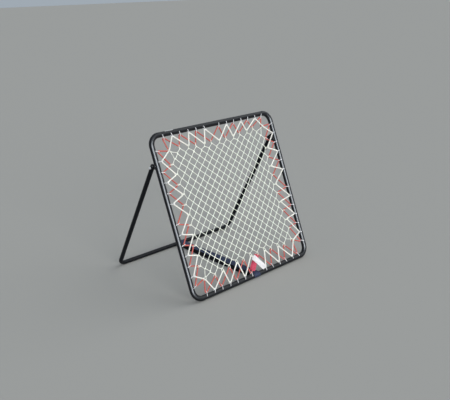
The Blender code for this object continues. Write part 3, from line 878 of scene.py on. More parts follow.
@dataclass(frozen=True)
class Maker:
    """Turns meshes into finished pieces."""

    smooth: float = 40.0

    def piece(
        self, name: str, bm: BMesh, finish: Finish, body: Body | None,
        stands_for: Sequence[str] = (),
    ) -> bpy.types.Object:
        """Make a finished piece.

        Args:
            name: The piece's name.
            bm: Its mesh, which is freed.
            finish: Its finish.
            body: The body that it rides on, or None if it rides on neither body or isn't part of the
                object.
            stands_for: The solids that it takes the place of.

        Returns:
            The piece's object.
        """
        bmesh.ops.recalc_face_normals(bm, faces=bm.faces)
        mesh = bpy.data.meshes.new(name)
        bm.to_mesh(mesh)
        bm.free()
        mesh.shade_smooth()
        mesh.set_sharp_from_angle(angle=math.radians(self.smooth))
        made = bpy.data.objects.new(name, mesh)
        mesh.materials.append(finish.material(name))
        bpy.context.scene.collection.objects.link(made)
        if body is not None:
            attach(made, body.value)
        if stands_for:
            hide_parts(*stands_for)
        LOG.info("%s: %d faces", name, len(mesh.polygons))
        return made


MAKER = Maker()
SOFT_MAKER = Maker(smooth=75.0)


def turned(bm: BMesh, profile: Outline, place: Matrix, steps: int) -> None:
    """Turn a profile about the z axis of a place.

    Args:
        bm: The mesh that gets the turned shape.
        profile: Its radii and heights, from one end to the other.
        place: Where the shape's own origin and axes stand.
        steps: How many spans the full turn has.
    """
    verts = [bm.verts.new(place @ Vector((radius, 0.0, height))) for radius, height in profile]
    edges = [bm.edges.new(pair) for pair in zip(verts, verts[1:])]
    axis = place.to_3x3() @ UP
    bmesh.ops.spin(
        bm, geom=verts + edges, cent=place.translation, axis=axis, angle=math.tau, steps=steps,
        use_merge=True, use_duplicate=False,
    )
    bmesh.ops.remove_doubles(bm, verts=bm.verts, dist=HAIR)


def prism(corners: Sequence[Vector], lift: Vector) -> BMesh:
    """Make a closed prism.

    Args:
        corners: The corners of one end, in order.
        lift: From that end to the other.

    Returns:
        Its mesh.
    """
    bm = bmesh.new()
    end = bm.faces.new([bm.verts.new(corner) for corner in corners])
    grown = bmesh.ops.extrude_face_region(bm, geom=[end])["geom"]
    bmesh.ops.translate(bm, vec=lift, verts=[g for g in grown if isinstance(g, bmesh.types.BMVert)])
    return bm


def overlap(first: BMesh, second: BMesh) -> BMesh:
    """Keep what two closed meshes have in common.

    Args:
        first: The one mesh, which is freed.
        second: The other mesh, which is freed.

    Returns:
        What lies inside both, as a new mesh.
    """
    holders = []
    for bm in (first, second):
        bmesh.ops.recalc_face_normals(bm, faces=bm.faces)
        mesh = bpy.data.meshes.new("shape")
        bm.to_mesh(mesh)
        bm.free()
        holder = bpy.data.objects.new("shape", mesh)
        bpy.context.scene.collection.objects.link(holder)
        holders.append(holder)
    step = holders[0].modifiers.new("cut", "BOOLEAN")
    step.object = holders[1]
    step.operation = "INTERSECT"
    step.solver = "EXACT"
    bpy.context.view_layer.update()
    evaluated = holders[0].evaluated_get(bpy.context.evaluated_depsgraph_get())
    made = bmesh.new()
    made.from_mesh(evaluated.to_mesh())
    evaluated.to_mesh_clear()
    for holder in holders:
        mesh = holder.data
        bpy.data.objects.remove(holder)
        bpy.data.meshes.remove(mesh)
    return made


# The frame's plane and what stands in it


@dataclass(frozen=True)
class Stand:
    """The sizes that place everything: the two tubes, the lean and the hinge."""

    rail_span: float = 0.968
    rail_radius: float = 0.016
    rail_bend: float = 0.060
    leg_radius: float = 0.0135
    leg_sides: int = 12
    leg_bend: float = 0.045
    leg_length: float = 0.8506
    leg_top: float = 0.012
    lean: float = math.radians(20.7)
    pivot_up_rail: float = 0.800
    pivot_behind: float = 0.052
    pivot: Vector = field(default_factory=lambda: Vector(frame["joints"][0]["pos_m"]))

    @property
    def half_span(self) -> float:
        """From the frame's middle to a rail's centre line."""
        return self.rail_span / 2

    @property
    def pivot_v(self) -> float:
        """The hinge's height above the frame's middle, up its plane."""
        return self.pivot_up_rail - self.half_span

    @property
    def plane(self) -> Matrix:
        """The frame's plane.

        Returns:
            Its place: the frame's middle, with u, v and w as its axes.
        """
        up = Vector((0.0, math.sin(self.lean), math.cos(self.lean)))
        out = Vector((0.0, -math.cos(self.lean), math.sin(self.lean)))
        middle = self.pivot - up * self.pivot_v + out * self.pivot_behind
        return Matrix.Translation(middle) @ Matrix((RIGHT, up, out)).transposed().to_4x4()

    @property
    def leg_plane(self) -> Matrix:
        """The leg's plane, worked out from the leg's solid, whose tube is a prism of a few sides.

        Returns:
            Its place: the hinge, with u to the right and v up the leg.
        """
        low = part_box("rear_leg")[0].z + self.leg_radius * math.cos(math.pi / self.leg_sides)
        tilt = math.acos((self.pivot.z - low) / self.leg_length)
        return Matrix.Translation(self.pivot) @ Matrix.Rotation(math.pi / 2 + tilt, 4, "X")

    @property
    def out(self) -> Vector:
        """The direction out of the frame's front."""
        return self.plane.to_3x3() @ UP

    @property
    def rail_foot(self) -> Vector:
        """The middle of the bottom rail."""
        return self.plane @ Vector((0.0, -self.half_span, 0.0))

    @property
    def bar_foot(self) -> Vector:
        """The middle of the leg's ground bar."""
        return self.leg_plane @ Vector((0.0, -self.leg_length, 0.0))


STAND = Stand()


class Side(Enum):
    """The frame's four sides, clockwise from the front."""

    TOP = 0
    RIGHT = 1
    BOTTOM = 2
    LEFT = 3

    def spot(self, along: float, out: float) -> Vector:
        """Turn distances along the side and out from the middle into u and v."""
        return Vector(((along, out), (out, -along), (-along, -out), (-out, along))[self.value])

    @property
    def label(self) -> str:
        """The side's name in small letters."""
        return self.name.lower()


class Lace(Enum):
    """The two lacings, by colour."""

    RED = 0
    WHITE = 1

    @property
    def label(self) -> str:
        """The lacing's name in small letters."""
        return self.name.lower()


class Hold(Enum):
    """What a lacing bends round."""

    LOOP = 0
    EYE = 1


@dataclass(frozen=True)
class Peg:
    """A point that a lacing bends round."""

    spot: Vector
    hold: Hold


@dataclass(frozen=True)
class NetLayout:
    """Where the net's knots, its eyes, its loops and its lacings stand in the frame's plane."""

    reach: int = 12
    margin: float = 0.1239
    spread: float = 0.094
    depth: float = 0.009
    lift: float = 0.009
    slant: float = 0.024
    draw: float = 0.0125
    tips: int = 11
    corner_margin: float = 0.110
    white_inset: float = 0.0085
    eye_length: float = 0.022
    lacing_spacing: float = 0.0109
    lacing_radius: float = LACING_RADIUS
    twine_radius: float = TWINE_RADIUS
    loop_radius: float = LOOP_RADIUS
    loop_places: int = 14
    loop_from_corner: float = 0.0807
    loop_slant: float = 0.15
    touch: float = 0.0003
    loop_reach: Mapping[Side, float] = field(
        default_factory=lambda: dict(zip(Side, (0.030, 0.032, 0.029, 0.035)))
    )
    loop_shift: Mapping[Side, float] = field(
        default_factory=lambda: dict(zip(Side, (0.0, -0.006, 0.0, -0.006)))
    )
    unused: Mapping[Side, int] = field(default_factory=lambda: dict(zip(Side, (7, 7, 7, 8))))

    @property
    def tip_row(self) -> int:
        """The row of the net that its outer points stand on."""
        return self.reach + 1

    @property
    def half_step(self) -> float:
        """Half a mesh's diagonal."""
        return (STAND.half_span - self.margin) / self.tip_row

    @property
    def loop_pitch(self) -> float:
        """From one place for a loop to the next."""
        return (STAND.rail_span - 2 * self.loop_from_corner) / (self.loop_places - 1)

    @property
    def corner_reach(self) -> float:
        """From the middle to the net's corners, along u and along v."""
        return STAND.half_span - self.corner_margin

    def hold(self, kind: Hold) -> float:
        """Give the distance from what a lacing bends round to the lacing's centre line."""
        other = self.loop_radius if kind is Hold.LOOP else self.twine_radius
        return self.lacing_radius + self.touch + other

    def lace_depth(self, lace: Lace) -> float:
        """Give the depth of a lacing's plane."""
        sign = 1 if lace is Lace.WHITE else -1
        return self.depth + sign * self.lacing_spacing / 2

    def hang(self, spot: Vector) -> Vector:
        """Move a point of the net to where it hangs.

        The net hangs a little high, rises to the right and is drawn out at the left, most of all
        a third below the middle, where 27 / 32 brings the draw to its full amount.

        Args:
            spot: The point's u and v in an evenly hung net.

        Returns:
            Its u and v.
        """
        across, up = spot.x / self.corner_reach, spot.y / self.corner_reach
        drawn = self.draw * ((1 - across) / 2) ** 2 * (1 - up) ** 2 * (1 + up) * 27 / 32
        return Vector((spot.x - drawn, spot.y + self.lift + self.slant * spot.x))

    def knot(self, x: float, y: float) -> Vector:
        """Give a knot's place; the net spreads towards its corners.

        Args:
            x: Half meshes to the right of the middle.
            y: Half meshes above the middle.

        Returns:
            Its u and v.
        """
        u = x * self.half_step * (1 + self.spread * (y / self.tip_row) ** 2)
        v = y * self.half_step * (1 + self.spread * (x / self.tip_row) ** 2)
        return self.hang(Vector((u, v)))

    def loops(self, side: Side) -> list[tuple[float, Lace]]:
        """Lay out one side's loops, which leave one place on the side unused.

        Args:
            side: The side of the frame.

        Returns:
            Each loop's place along the side and its lacing, red first.
        """
        used = [k for k in range(1, self.loop_places + 1) if k != self.unused[side]]
        middle = (self.loop_places + 1) / 2
        shift = self.loop_shift[side]
        return [((k - middle) * self.loop_pitch + shift, Lace(i % 2)) for i, k in enumerate(used)]

    def outer_points(self, side: Side) -> list[tuple[Vector, Lace]]:
        """Lay out the net's outer points along a side.

        Args:
            side: The side of the frame.

        Returns:
            Each point's u and v and its lacing, red first.
        """
        points = []
        for i in range(self.tips):
            step = 2 * i - (self.tips - 1)
            lace = Lace(i % 2)
            bow = 1 - (step / self.tip_row) ** 2
            inset = self.white_inset * bow if lace is Lace.WHITE else 0.0
            spot = side.spot(step, self.tip_row)
            points.append((self.knot(spot.x, spot.y) - side.spot(0, 1) * inset, lace))
        return points

    def corner(self, side: Side) -> Vector:
        """Give the net's corner at the end of a side."""
        return self.hang(side.spot(self.corner_reach, self.corner_reach))

    def loop_end(self, side: Side, lace: Lace, index: int) -> float:
        """Give where a loop's end stands along its side, pulled towards its two eyes.

        Args:
            side: The side of the frame.
            lace: The lacing that the loop holds.
            index: Which of that lacing's loops on the side.

        Returns:
            The distance along the side.
        """
        root = [along for along, own in self.loops(side) if own is lace][index]
        run = side.spot(1, 0)
        tips = [tip.dot(run) for tip, own in self.outer_points(side) if own is lace]
        before = tips[index - 1] if index > 0 else -self.corner_reach
        after = tips[index] if index < len(tips) else self.corner_reach
        return root + self.loop_slant * ((before + after) / 2 - root)

    def pegs(self, lace: Lace) -> list[Peg]:
        """Find what a lacing bends round.

        Args:
            lace: The lacing.

        Returns:
            The ends of its loops and of its eyes, in the order in which it meets them.
        """
        found = []
        for side in Side:
            loops = [along for along, own in self.loops(side) if own is lace]
            tips = [tip for tip, own in self.outer_points(side) if own is lace]
            for i in range(len(loops)):
                end = self.loop_end(side, lace, i)
                found.append(Peg(side.spot(end, STAND.half_span - self.loop_reach[side]), Hold.LOOP))
                if i < len(tips):
                    found.append(Peg(tips[i] + side.spot(0, 1) * self.eye_length, Hold.EYE))
            outward = side.spot(1, 1).normalized()
            found.append(Peg(self.corner(side) + outward * self.eye_length, Hold.EYE))
        return found


LAYOUT = NetLayout()


def at_depth(spot: Vector, w: float) -> Vector:
    """Give a point of the frame's plane a depth."""
    return Vector((spot.x, spot.y, w))


def in_plane(spot: Vector, w: float) -> Vector:
    """Give where a point of the frame's plane stands in the world, at a depth."""
    return STAND.plane @ at_depth(spot, w)


def knot_place(spot: Vector, turn: float) -> Matrix:
    """Give a knot's place in the world, turned about the line out of the net."""
    place = STAND.plane @ Matrix.Translation(at_depth(spot, LAYOUT.depth))
    return place @ Matrix.Rotation(turn, 4, "Z")


def jointed(path: Sequence[Vector]) -> list[Vector]:
    """Open a closed path where it starts, between its last point and its first.

    Args:
        path: The cord's points, round to the last one before the joint.

    Returns:
        The same points with the cord's two ends added, which stand a hair apart.
    """
    joint = (path[0] + path[-1]) / 2
    slack = (path[0] - path[-1]).normalized() * (LAYOUT.touch / 2)
    return [joint + slack, *path, joint - slack]


# Sub-assemblies


@dataclass
class FrontFrame:
    """The square of tube that leans back, with the cord loops along it."""

    radius: float = 0.0159
    sides: int = 48
    bend_steps: int = 18
    loop_sides: int = 10
    loop_root: float = 0.004
    loop_sunk: float = 0.004
    loop_stub: float = 0.0015
    loop_bend_steps: int = 8
    rim_radius: float = 0.0026
    rim_steps: int = 10
    rim_thickness: float = 0.0007
    rim_sides: int = 4
    halvings: int = 20
    label_middle: float = -0.345
    label_length: float = 0.060
    label_girth: float = math.radians(84)
    label_turn: float = math.radians(90)
    label_lift: float = 0.00018
    label_spans: tuple[int, int] = (12, 16)

    def build(self) -> None:
        """Make the rail, its bare label, and the loops with the rims of their holes."""
        self._rail()
        self._label()
        for side in Side:
            self._loops(side)

    def _rail(self) -> None:
        """Bend the tube round the frame's four corners."""
        half = STAND.half_span
        signs = ((-1, -1), (1, -1), (1, 1), (-1, 1))
        corners = [STAND.plane @ Vector((u * half, v * half, 0)) for u, v in signs]
        path = fillet(corners, STAND.rail_bend, self.bend_steps, closed=True)
        rail = Sweep(path, round_outline(self.radius, self.sides), -RIGHT, closed=True).mesh()
        MAKER.piece("front_rail", rail, FRAME_PAINT, Body.FRAME, ["front_frame"])

    def _label(self) -> None:
        """Wrap a bare strip of film over the top rail."""
        bm = bmesh.new()
        across, around = self.label_spans
        bmesh.ops.create_grid(bm, x_segments=across, y_segments=around, size=0.5)
        lift = self.radius + self.label_lift
        for v in bm.verts:
            along = self.label_middle + v.co.x * self.label_length
            angle = self.label_turn + v.co.y * self.label_girth
            spot = Vector((along, STAND.half_span + lift * math.sin(angle), lift * math.cos(angle)))
            v.co = STAND.plane @ spot
        MAKER.piece("bare_label", bm, LABEL_FILM, Body.FRAME)

    def _profile(self, side: Side, root: float, end: float, lace: Lace) -> list[Vector]:
        """Route one loop: out of the rail's front, round the lacing and into the rail's inner side.

        Args:
            side: The side of the frame.
            root: Where the loop leaves the rail, along the side.
            end: Where it holds the lacing, along the side.
            lace: The lacing.

        Returns:
            The corners of its path, the first and the last of them inside the tube.
        """
        hold = LAYOUT.hold(Hold.LOOP)
        depth = LAYOUT.lace_depth(lace)
        reach = LAYOUT.loop_reach[side]
        crest = math.sqrt(STAND.rail_radius**2 - self.loop_root**2)
        stops = (
            (root, self.loop_root / 2, crest - self.loop_sunk),
            (root, self.loop_root, crest + self.loop_stub),
            (end, reach, depth + hold),
            (end, reach, depth - hold),
            (root, STAND.rail_radius / 2, (depth - hold) / 2),
        )
        return [in_plane(side.spot(along, STAND.half_span - inward), w) for along, inward, w in stops]

    def _loops(self, side: Side) -> None:
        """Make one side's loops and the rims of their holes.

        Args:
            side: The side of the frame.
        """
        bm, rims = bmesh.new(), bmesh.new()
        seen = {lace: 0 for lace in Lace}
        for root, lace in LAYOUT.loops(side):
            end = LAYOUT.loop_end(side, lace, seen[lace])
            seen[lace] += 1
            corners = self._profile(side, root, end, lace)
            path = fillet(corners, LAYOUT.hold(Hold.LOOP), self.loop_bend_steps)
            across = STAND.plane.to_3x3() @ side.spot(1, 0).to_3d()
            Sweep(path, round_outline(LAYOUT.loop_radius, self.loop_sides), across).add_to(bm)
            middle = in_plane(side.spot(root, STAND.half_span), 0)
            for outer, inner in ((corners[1], corners[0]), (corners[3], corners[4])):
                self._rim(rims, middle, across, outer, inner)
        SOFT_MAKER.piece(f"cord_loops_{side.label}", bm, LOOP_CORD, Body.FRAME)
        MAKER.piece(f"loop_hole_rims_{side.label}", rims, BRACKET_PAINT, Body.FRAME)

    def _rim(self, bm: BMesh, middle: Vector, run: Vector, outer: Vector, inner: Vector) -> None:
        """Raise a small rim where a loop's cord passes through the tube's wall.

        Args:
            bm: The mesh that gets the rim.
            middle: A point of the rail's centre line.
            run: The rail's direction.
            outer: The cord's point outside the tube.
            inner: The cord's point inside it.
        """
        low, high = 0.0, 1.0
        for _ in range(self.halvings):
            share = (low + high) / 2
            away = outer.lerp(inner, share) - middle
            away -= run * away.dot(run)
            low, high = (share, high) if away.length > self.radius else (low, share)
        spot = outer.lerp(inner, high)
        away.normalize()
        side = away.orthogonal().normalized()
        up = away.cross(side)
        path = [spot + side * a + up * b for a, b in round_outline(self.rim_radius, self.rim_steps)]
        Sweep(path, round_outline(self.rim_thickness, self.rim_sides), away, closed=True).add_to(bm)


@dataclass(frozen=True)
class WeldBead:
    """A rippled bead of weld, thinner towards its two ends."""

    radius: float = 0.0021
    sides: int = 12
    steps: int = 64
    margin: float = 0.003
    ripples: int = 15
    ripple_height: float = 0.10
    tip: float = 0.25
    swell: float = 18.0

    def lay(self, bm: BMesh, u: float, w: float, half: float) -> None:
        """Lay the bead along a bracket's foot.

        Args:
            bm: The mesh that gets it.
            u: Its place across the frame.
            w: Its place out of the frame's front.
            half: Half the length of the foot.
        """
        reach = half - self.margin
        stops = [reach * (2 * i / self.steps - 1) for i in range(self.steps + 1)]
        path = [STAND.plane @ Vector((u, STAND.pivot_v + stop, w)) for stop in stops]
        Sweep(path, round_outline(self.radius, self.sides), RIGHT, scale=self._size).build(bm)

    def _size(self, share: float) -> float:
        """Give the bead's scale at a share of its length."""
        ends = min(1.0, math.sqrt(max(0.0, min(share, 1 - share)) * self.swell) + self.tip)
        return ends * (1 + self.ripple_height * math.sin(share * math.tau * self.ripples))


@dataclass(frozen=True)
class Hinge:
    """One side's hinge: its welded bracket, bolt, nut and washers."""

    hand: int
    word: str
    bracket_thickness: float = 0.005
    bracket_nose: float = 0.016
    bracket_foot: float = 0.052
    bracket_reach: float = 0.0005
    bracket_edge: float = 0.0007
    edge_steps: int = 3
    edge_angle: float = math.radians(40)
    nose_steps: int = 48
    bolt_radius: float = 0.004
    bolt_end: float = 0.003
    bolt_point: float = 0.0006
    head_overlap: float = 0.001
    head_height: float = 0.0053
    thread_pitch: float = 0.00125
    thread_depth: float = 0.0005
    hex_across: float = 0.013
    hex_turn: float = math.radians(17)
    hex_slope: float = math.radians(30)
    hex_margin: float = 0.0004
    hex_play: float = 0.0001
    nut_height: float = 0.0078
    collar_height: float = 0.0018
    collar_inset: float = 0.0009
    collar_sunk: float = 0.0006
    collar_edge: float = 0.0008
    collar_lip: float = 0.0003
    nylon_width: float = 0.0009
    nylon_sunk: tuple[float, float] = (0.0006, 0.0008)
    washer_radius: float = 0.0085
    washer_thickness: float = 0.0016
    washer_edge: float = 0.0003
    washer_play: float = 0.0002
    bead: WeldBead = WeldBead()
    outer_bead_sunk: float = 0.0004
    inner_bead_sunk: float = 0.0002
    inner_bead_lift: float = 0.001
    steps: int = 40
    hex_steps: int = 60

    def build(self) -> None:
        """Make the hinge's pieces, from outside the leg to inside the frame."""
        touch = LAYOUT.touch
        reach = STAND.leg_radius + touch
        self._washer("outer_washer", 1, reach, BLACK_ZINC)
        self._bolt(reach + self.washer_thickness + touch)
        self._washer("middle_washer", -1, reach, ZINC)
        reach += self.washer_thickness + touch
        self._bracket(reach)
        reach += self.bracket_thickness + touch
        self._washer("inner_washer", -1, reach, ZINC)
        self._nut(reach + self.washer_thickness + touch)

    def _axis(self, outward: int) -> Matrix:
        """Place a shape on the hinge's axis, at the leg's centre line.

        Args:
            outward: 1 if the shape's own z points out of the leg, -1 if it points into the frame.

        Returns:
            The shape's place.
        """
        start = STAND.pivot + RIGHT * (self.hand * STAND.half_span)
        turn = Matrix.Rotation(math.copysign(math.pi / 2, outward * self.hand), 4, "Y")
        return Matrix.Translation(start) @ turn

    def _piece(self, part: str, kind: str, bm: BMesh, finish: Finish) -> None:
        """Finish the piece that takes the place of one of the hinge's solids."""
        name = f"{part}_{self.word}"
        MAKER.piece(f"{name}_{kind}", bm, finish, Body.FRAME, [name])

    def _washer(self, part: str, outward: int, low: float, plating: Finish) -> None:
        """Make a flat washer with softened edges.

        Args:
            part: Its name without its side.
            outward: 1 for one outside the leg, -1 for one inside.
            low: Where it starts, from the leg's centre line.
            plating: Its finish.
        """
        high, soft = low + self.washer_thickness, self.washer_edge
        bore, rim = self.bolt_radius + self.washer_play, self.washer_radius
        profile = [
            (bore, low), (rim - soft, low), (rim, low + soft),
            (rim, high - soft), (rim - soft, high), (bore, high), (bore, low),
        ]
        bm = bmesh.new()
        turned(bm, profile, self._axis(outward), self.steps)
        self._piece(part, "zinc", bm, plating)

    def _hex(self, low: float, high: float, outward: int, both: bool) -> BMesh:
        """Make a hexagonal block whose corners are turned off.

        Args:
            low: Where the block starts along the axis.
            high: Where it ends.
            outward: 1 for out of the leg, -1 for into the frame.
            both: Whether the corners are turned off at both ends.

        Returns:
            Its mesh.
        """
        corner, flat = self.hex_across / math.sqrt(3), self.hex_across / 2
        turn = (corner - flat + self.hex_margin) * math.tan(self.hex_slope)
        face, wide = flat - self.hex_margin, corner + self.hex_play
        place = self._axis(outward)
        corners = [place @ Vector((a, b, low)) for a, b in round_outline(corner, 6, self.hex_turn)]
        block = prism(corners, place.to_3x3() @ Vector((0, 0, high - low)))
        start = [(0, low), (face, low), (wide, low + turn)] if both else [(0, low), (wide, low)]
        blank = bmesh.new()
        turned(blank, start + [(wide, high - turn), (face, high), (0, high)], place, self.hex_steps)
        return overlap(block, blank)

    def _bolt(self, low: float) -> None:
        """Make the hexagon bolt: its head, its shank and the threaded end beyond the nut.

        Args:
            low: Where its head starts, from the leg's centre line.
        """
        bm = self._hex(low, low + self.head_height, 1, both=False)
        inward = STAND.leg_radius + 3 * LAYOUT.touch + 2 * self.washer_thickness + self.bracket_thickness
        end = inward + LAYOUT.touch + self.nut_height + self.bolt_end
        root = self.bolt_radius - self.thread_depth
        start = -low - self.head_overlap
        profile = [(0.0, start), (self.bolt_radius, start)]
        height = inward
        while height < end - self.thread_pitch:
            profile += [(self.bolt_radius, height), (root, height + self.thread_pitch / 2)]
            height += self.thread_pitch
        profile += [(root, end - self.bolt_point), (root - self.bolt_point, end), (0.0, end)]
        turned(bm, profile, self._axis(-1), self.steps)
        self._piece("hinge_bolt", "zinc", bm, ZINC)

    def _nut(self, low: float) -> None:
        """Make the lock nut, with its rolled collar and the nylon ring inside it.

        Args:
            low: Where it starts, from the leg's centre line.
        """
        high = low + self.nut_height
        shoulder = high - self.collar_height
        foot = shoulder - self.collar_sunk
        crest = self.hex_across / 2 - self.collar_inset
        bore = self.bolt_radius + self.nylon_width
        bm = self._hex(low, shoulder, -1, both=True)
        collar = [
            (bore, foot), (crest, foot), (crest, high - self.collar_edge),
            (crest - self.collar_edge, high), (bore, high - self.collar_lip), (bore, foot),
        ]
        turned(bm, collar, self._axis(-1), self.steps)
        self._piece("hinge_nut", "zinc", bm, ZINC)
        outer, inner = (high - sunk for sunk in self.nylon_sunk)
        ring = [
            (self.bolt_radius, shoulder), (bore, shoulder), (bore, outer), (self.bolt_radius, inner),
            (self.bolt_radius, shoulder),
        ]
        nylon = bmesh.new()
        turned(nylon, ring, self._axis(-1), self.steps)
        MAKER.piece(f"lock_ring_{self.word}", nylon, NYLON, Body.FRAME)

    def _bracket(self, inward: float) -> None:
        """Cut the bracket's plate, round its edges and lay its two weld beads.

        Args:
            inward: From the leg's centre line to the plate's outer face.
        """
        v0, w0 = STAND.pivot_v, -STAND.pivot_behind
        rim = round_outline(self.bracket_nose, self.nose_steps, -math.pi / 2)
        nose = [(v0 + b, w0 + a) for a, b in rim]
        nose = [spot for spot in nose if spot[1] <= w0 + HAIR]
        nose.sort(key=lambda spot: spot[0])
        half = self.bracket_foot / 2
        waist = -STAND.rail_radius
        outline = nose + [(v0 + half, waist), (v0 + half, -self.bracket_reach)]
        outline += [(v0 - half, -self.bracket_reach), (v0 - half, waist)]
        u0 = self.hand * (STAND.half_span - inward)
        corners = [STAND.plane @ Vector((u0, v, w)) for v, w in outline]
        step = -self.hand * self.bracket_thickness
        bm = prism(corners, STAND.plane.to_3x3() @ Vector((step, 0, 0)))
        bmesh.ops.recalc_face_normals(bm, faces=bm.faces)
        sharp = [e for e in bm.edges if e.calc_face_angle(0) > self.edge_angle]
        bmesh.ops.bevel(
            bm, geom=sharp, offset=self.bracket_edge, offset_type="OFFSET", affect="EDGES",
            segments=self.edge_steps, profile=0.5, material=-1,
        )
        self._piece("hinge_bracket", "plate", bm, BRACKET_PAINT)
        self._weld(u0)

    def _weld(self, u0: float) -> None:
        """Lay a bead on each side of the bracket, where its plate meets the rail.

        Args:
            u0: The place of the plate's outer face across the frame.
        """
        half = self.bracket_foot / 2
        gap = STAND.half_span - abs(u0)
        outer_w = -math.sqrt(max(STAND.rail_radius**2 - gap**2, 0.0))
        inner_u = self.hand * (STAND.half_span - STAND.rail_radius)
        beads = bmesh.new()
        self.bead.lay(beads, u0, outer_w - self.outer_bead_sunk, half)
        inner_w = -self.bracket_reach + self.inner_bead_lift
        self.bead.lay(beads, inner_u - self.hand * self.inner_bead_sunk, inner_w, half)
        MAKER.piece(f"weld_beads_{self.word}", beads, BRACKET_PAINT, Body.FRAME)


@dataclass
class RearLeg:
    """The U of thinner tube that props the frame up, with a plug in each end."""

    radius: float = 0.0134
    sides: int = 36
    bend_steps: int = 16
    cap_rim: float = 0.0012
    cap_dome: float = 0.008
    cap_wall: float = 0.0018
    cap_depth: float = 0.006
    cap_seat: float = 0.0003
    cap_arcs: int = 10
    steps: int = 40

    def build(self) -> None:
        """Make the tube and its two plugs."""
        half, foot, top = STAND.half_span, -STAND.leg_length, STAND.leg_top
        spots = [(-half, top), (-half, foot), (half, foot), (half, top)]
        corners = [STAND.leg_plane @ Vector((u, v, 0)) for u, v in spots]
        path = fillet(corners, STAND.leg_bend, self.bend_steps)
        tube = Sweep(path, round_outline(self.radius, self.sides), RIGHT).mesh()
        MAKER.piece("leg_tube", tube, LEG_PAINT, Body.LEG, ["rear_leg"])
        for hand, word in HANDS:
            self._cap(hand, word)

    def _cap(self, hand: int, word: str) -> None:
        """Turn the domed plug for one end of the tube.

        Args:
            hand: -1 for the left end, 1 for the right.
            word: That side's name.
        """
        place = STAND.leg_plane @ Matrix.Translation((hand * STAND.half_span, STAND.leg_top, 0))
        place = place @ Matrix.Rotation(-math.pi / 2, 4, "X")
        bore, seat = self.radius - self.cap_wall, self.cap_seat
        profile = [(0.0, -self.cap_depth), (bore, -self.cap_depth), (bore, seat), (self.radius, seat)]
        for i in range(self.cap_arcs):
            angle = math.pi / 2 * i / self.cap_arcs
            height = self.cap_rim + (self.cap_dome - self.cap_rim) * math.sin(angle)
            profile.append((self.radius * math.cos(angle), height))
        profile.append((0.0, self.cap_dome))
        bm = bmesh.new()
        turned(bm, profile, place, self.steps)
        name = f"leg_cap_{word}"
        MAKER.piece(f"{name}_dome", bm, CAP_PLASTIC, Body.LEG, [name])


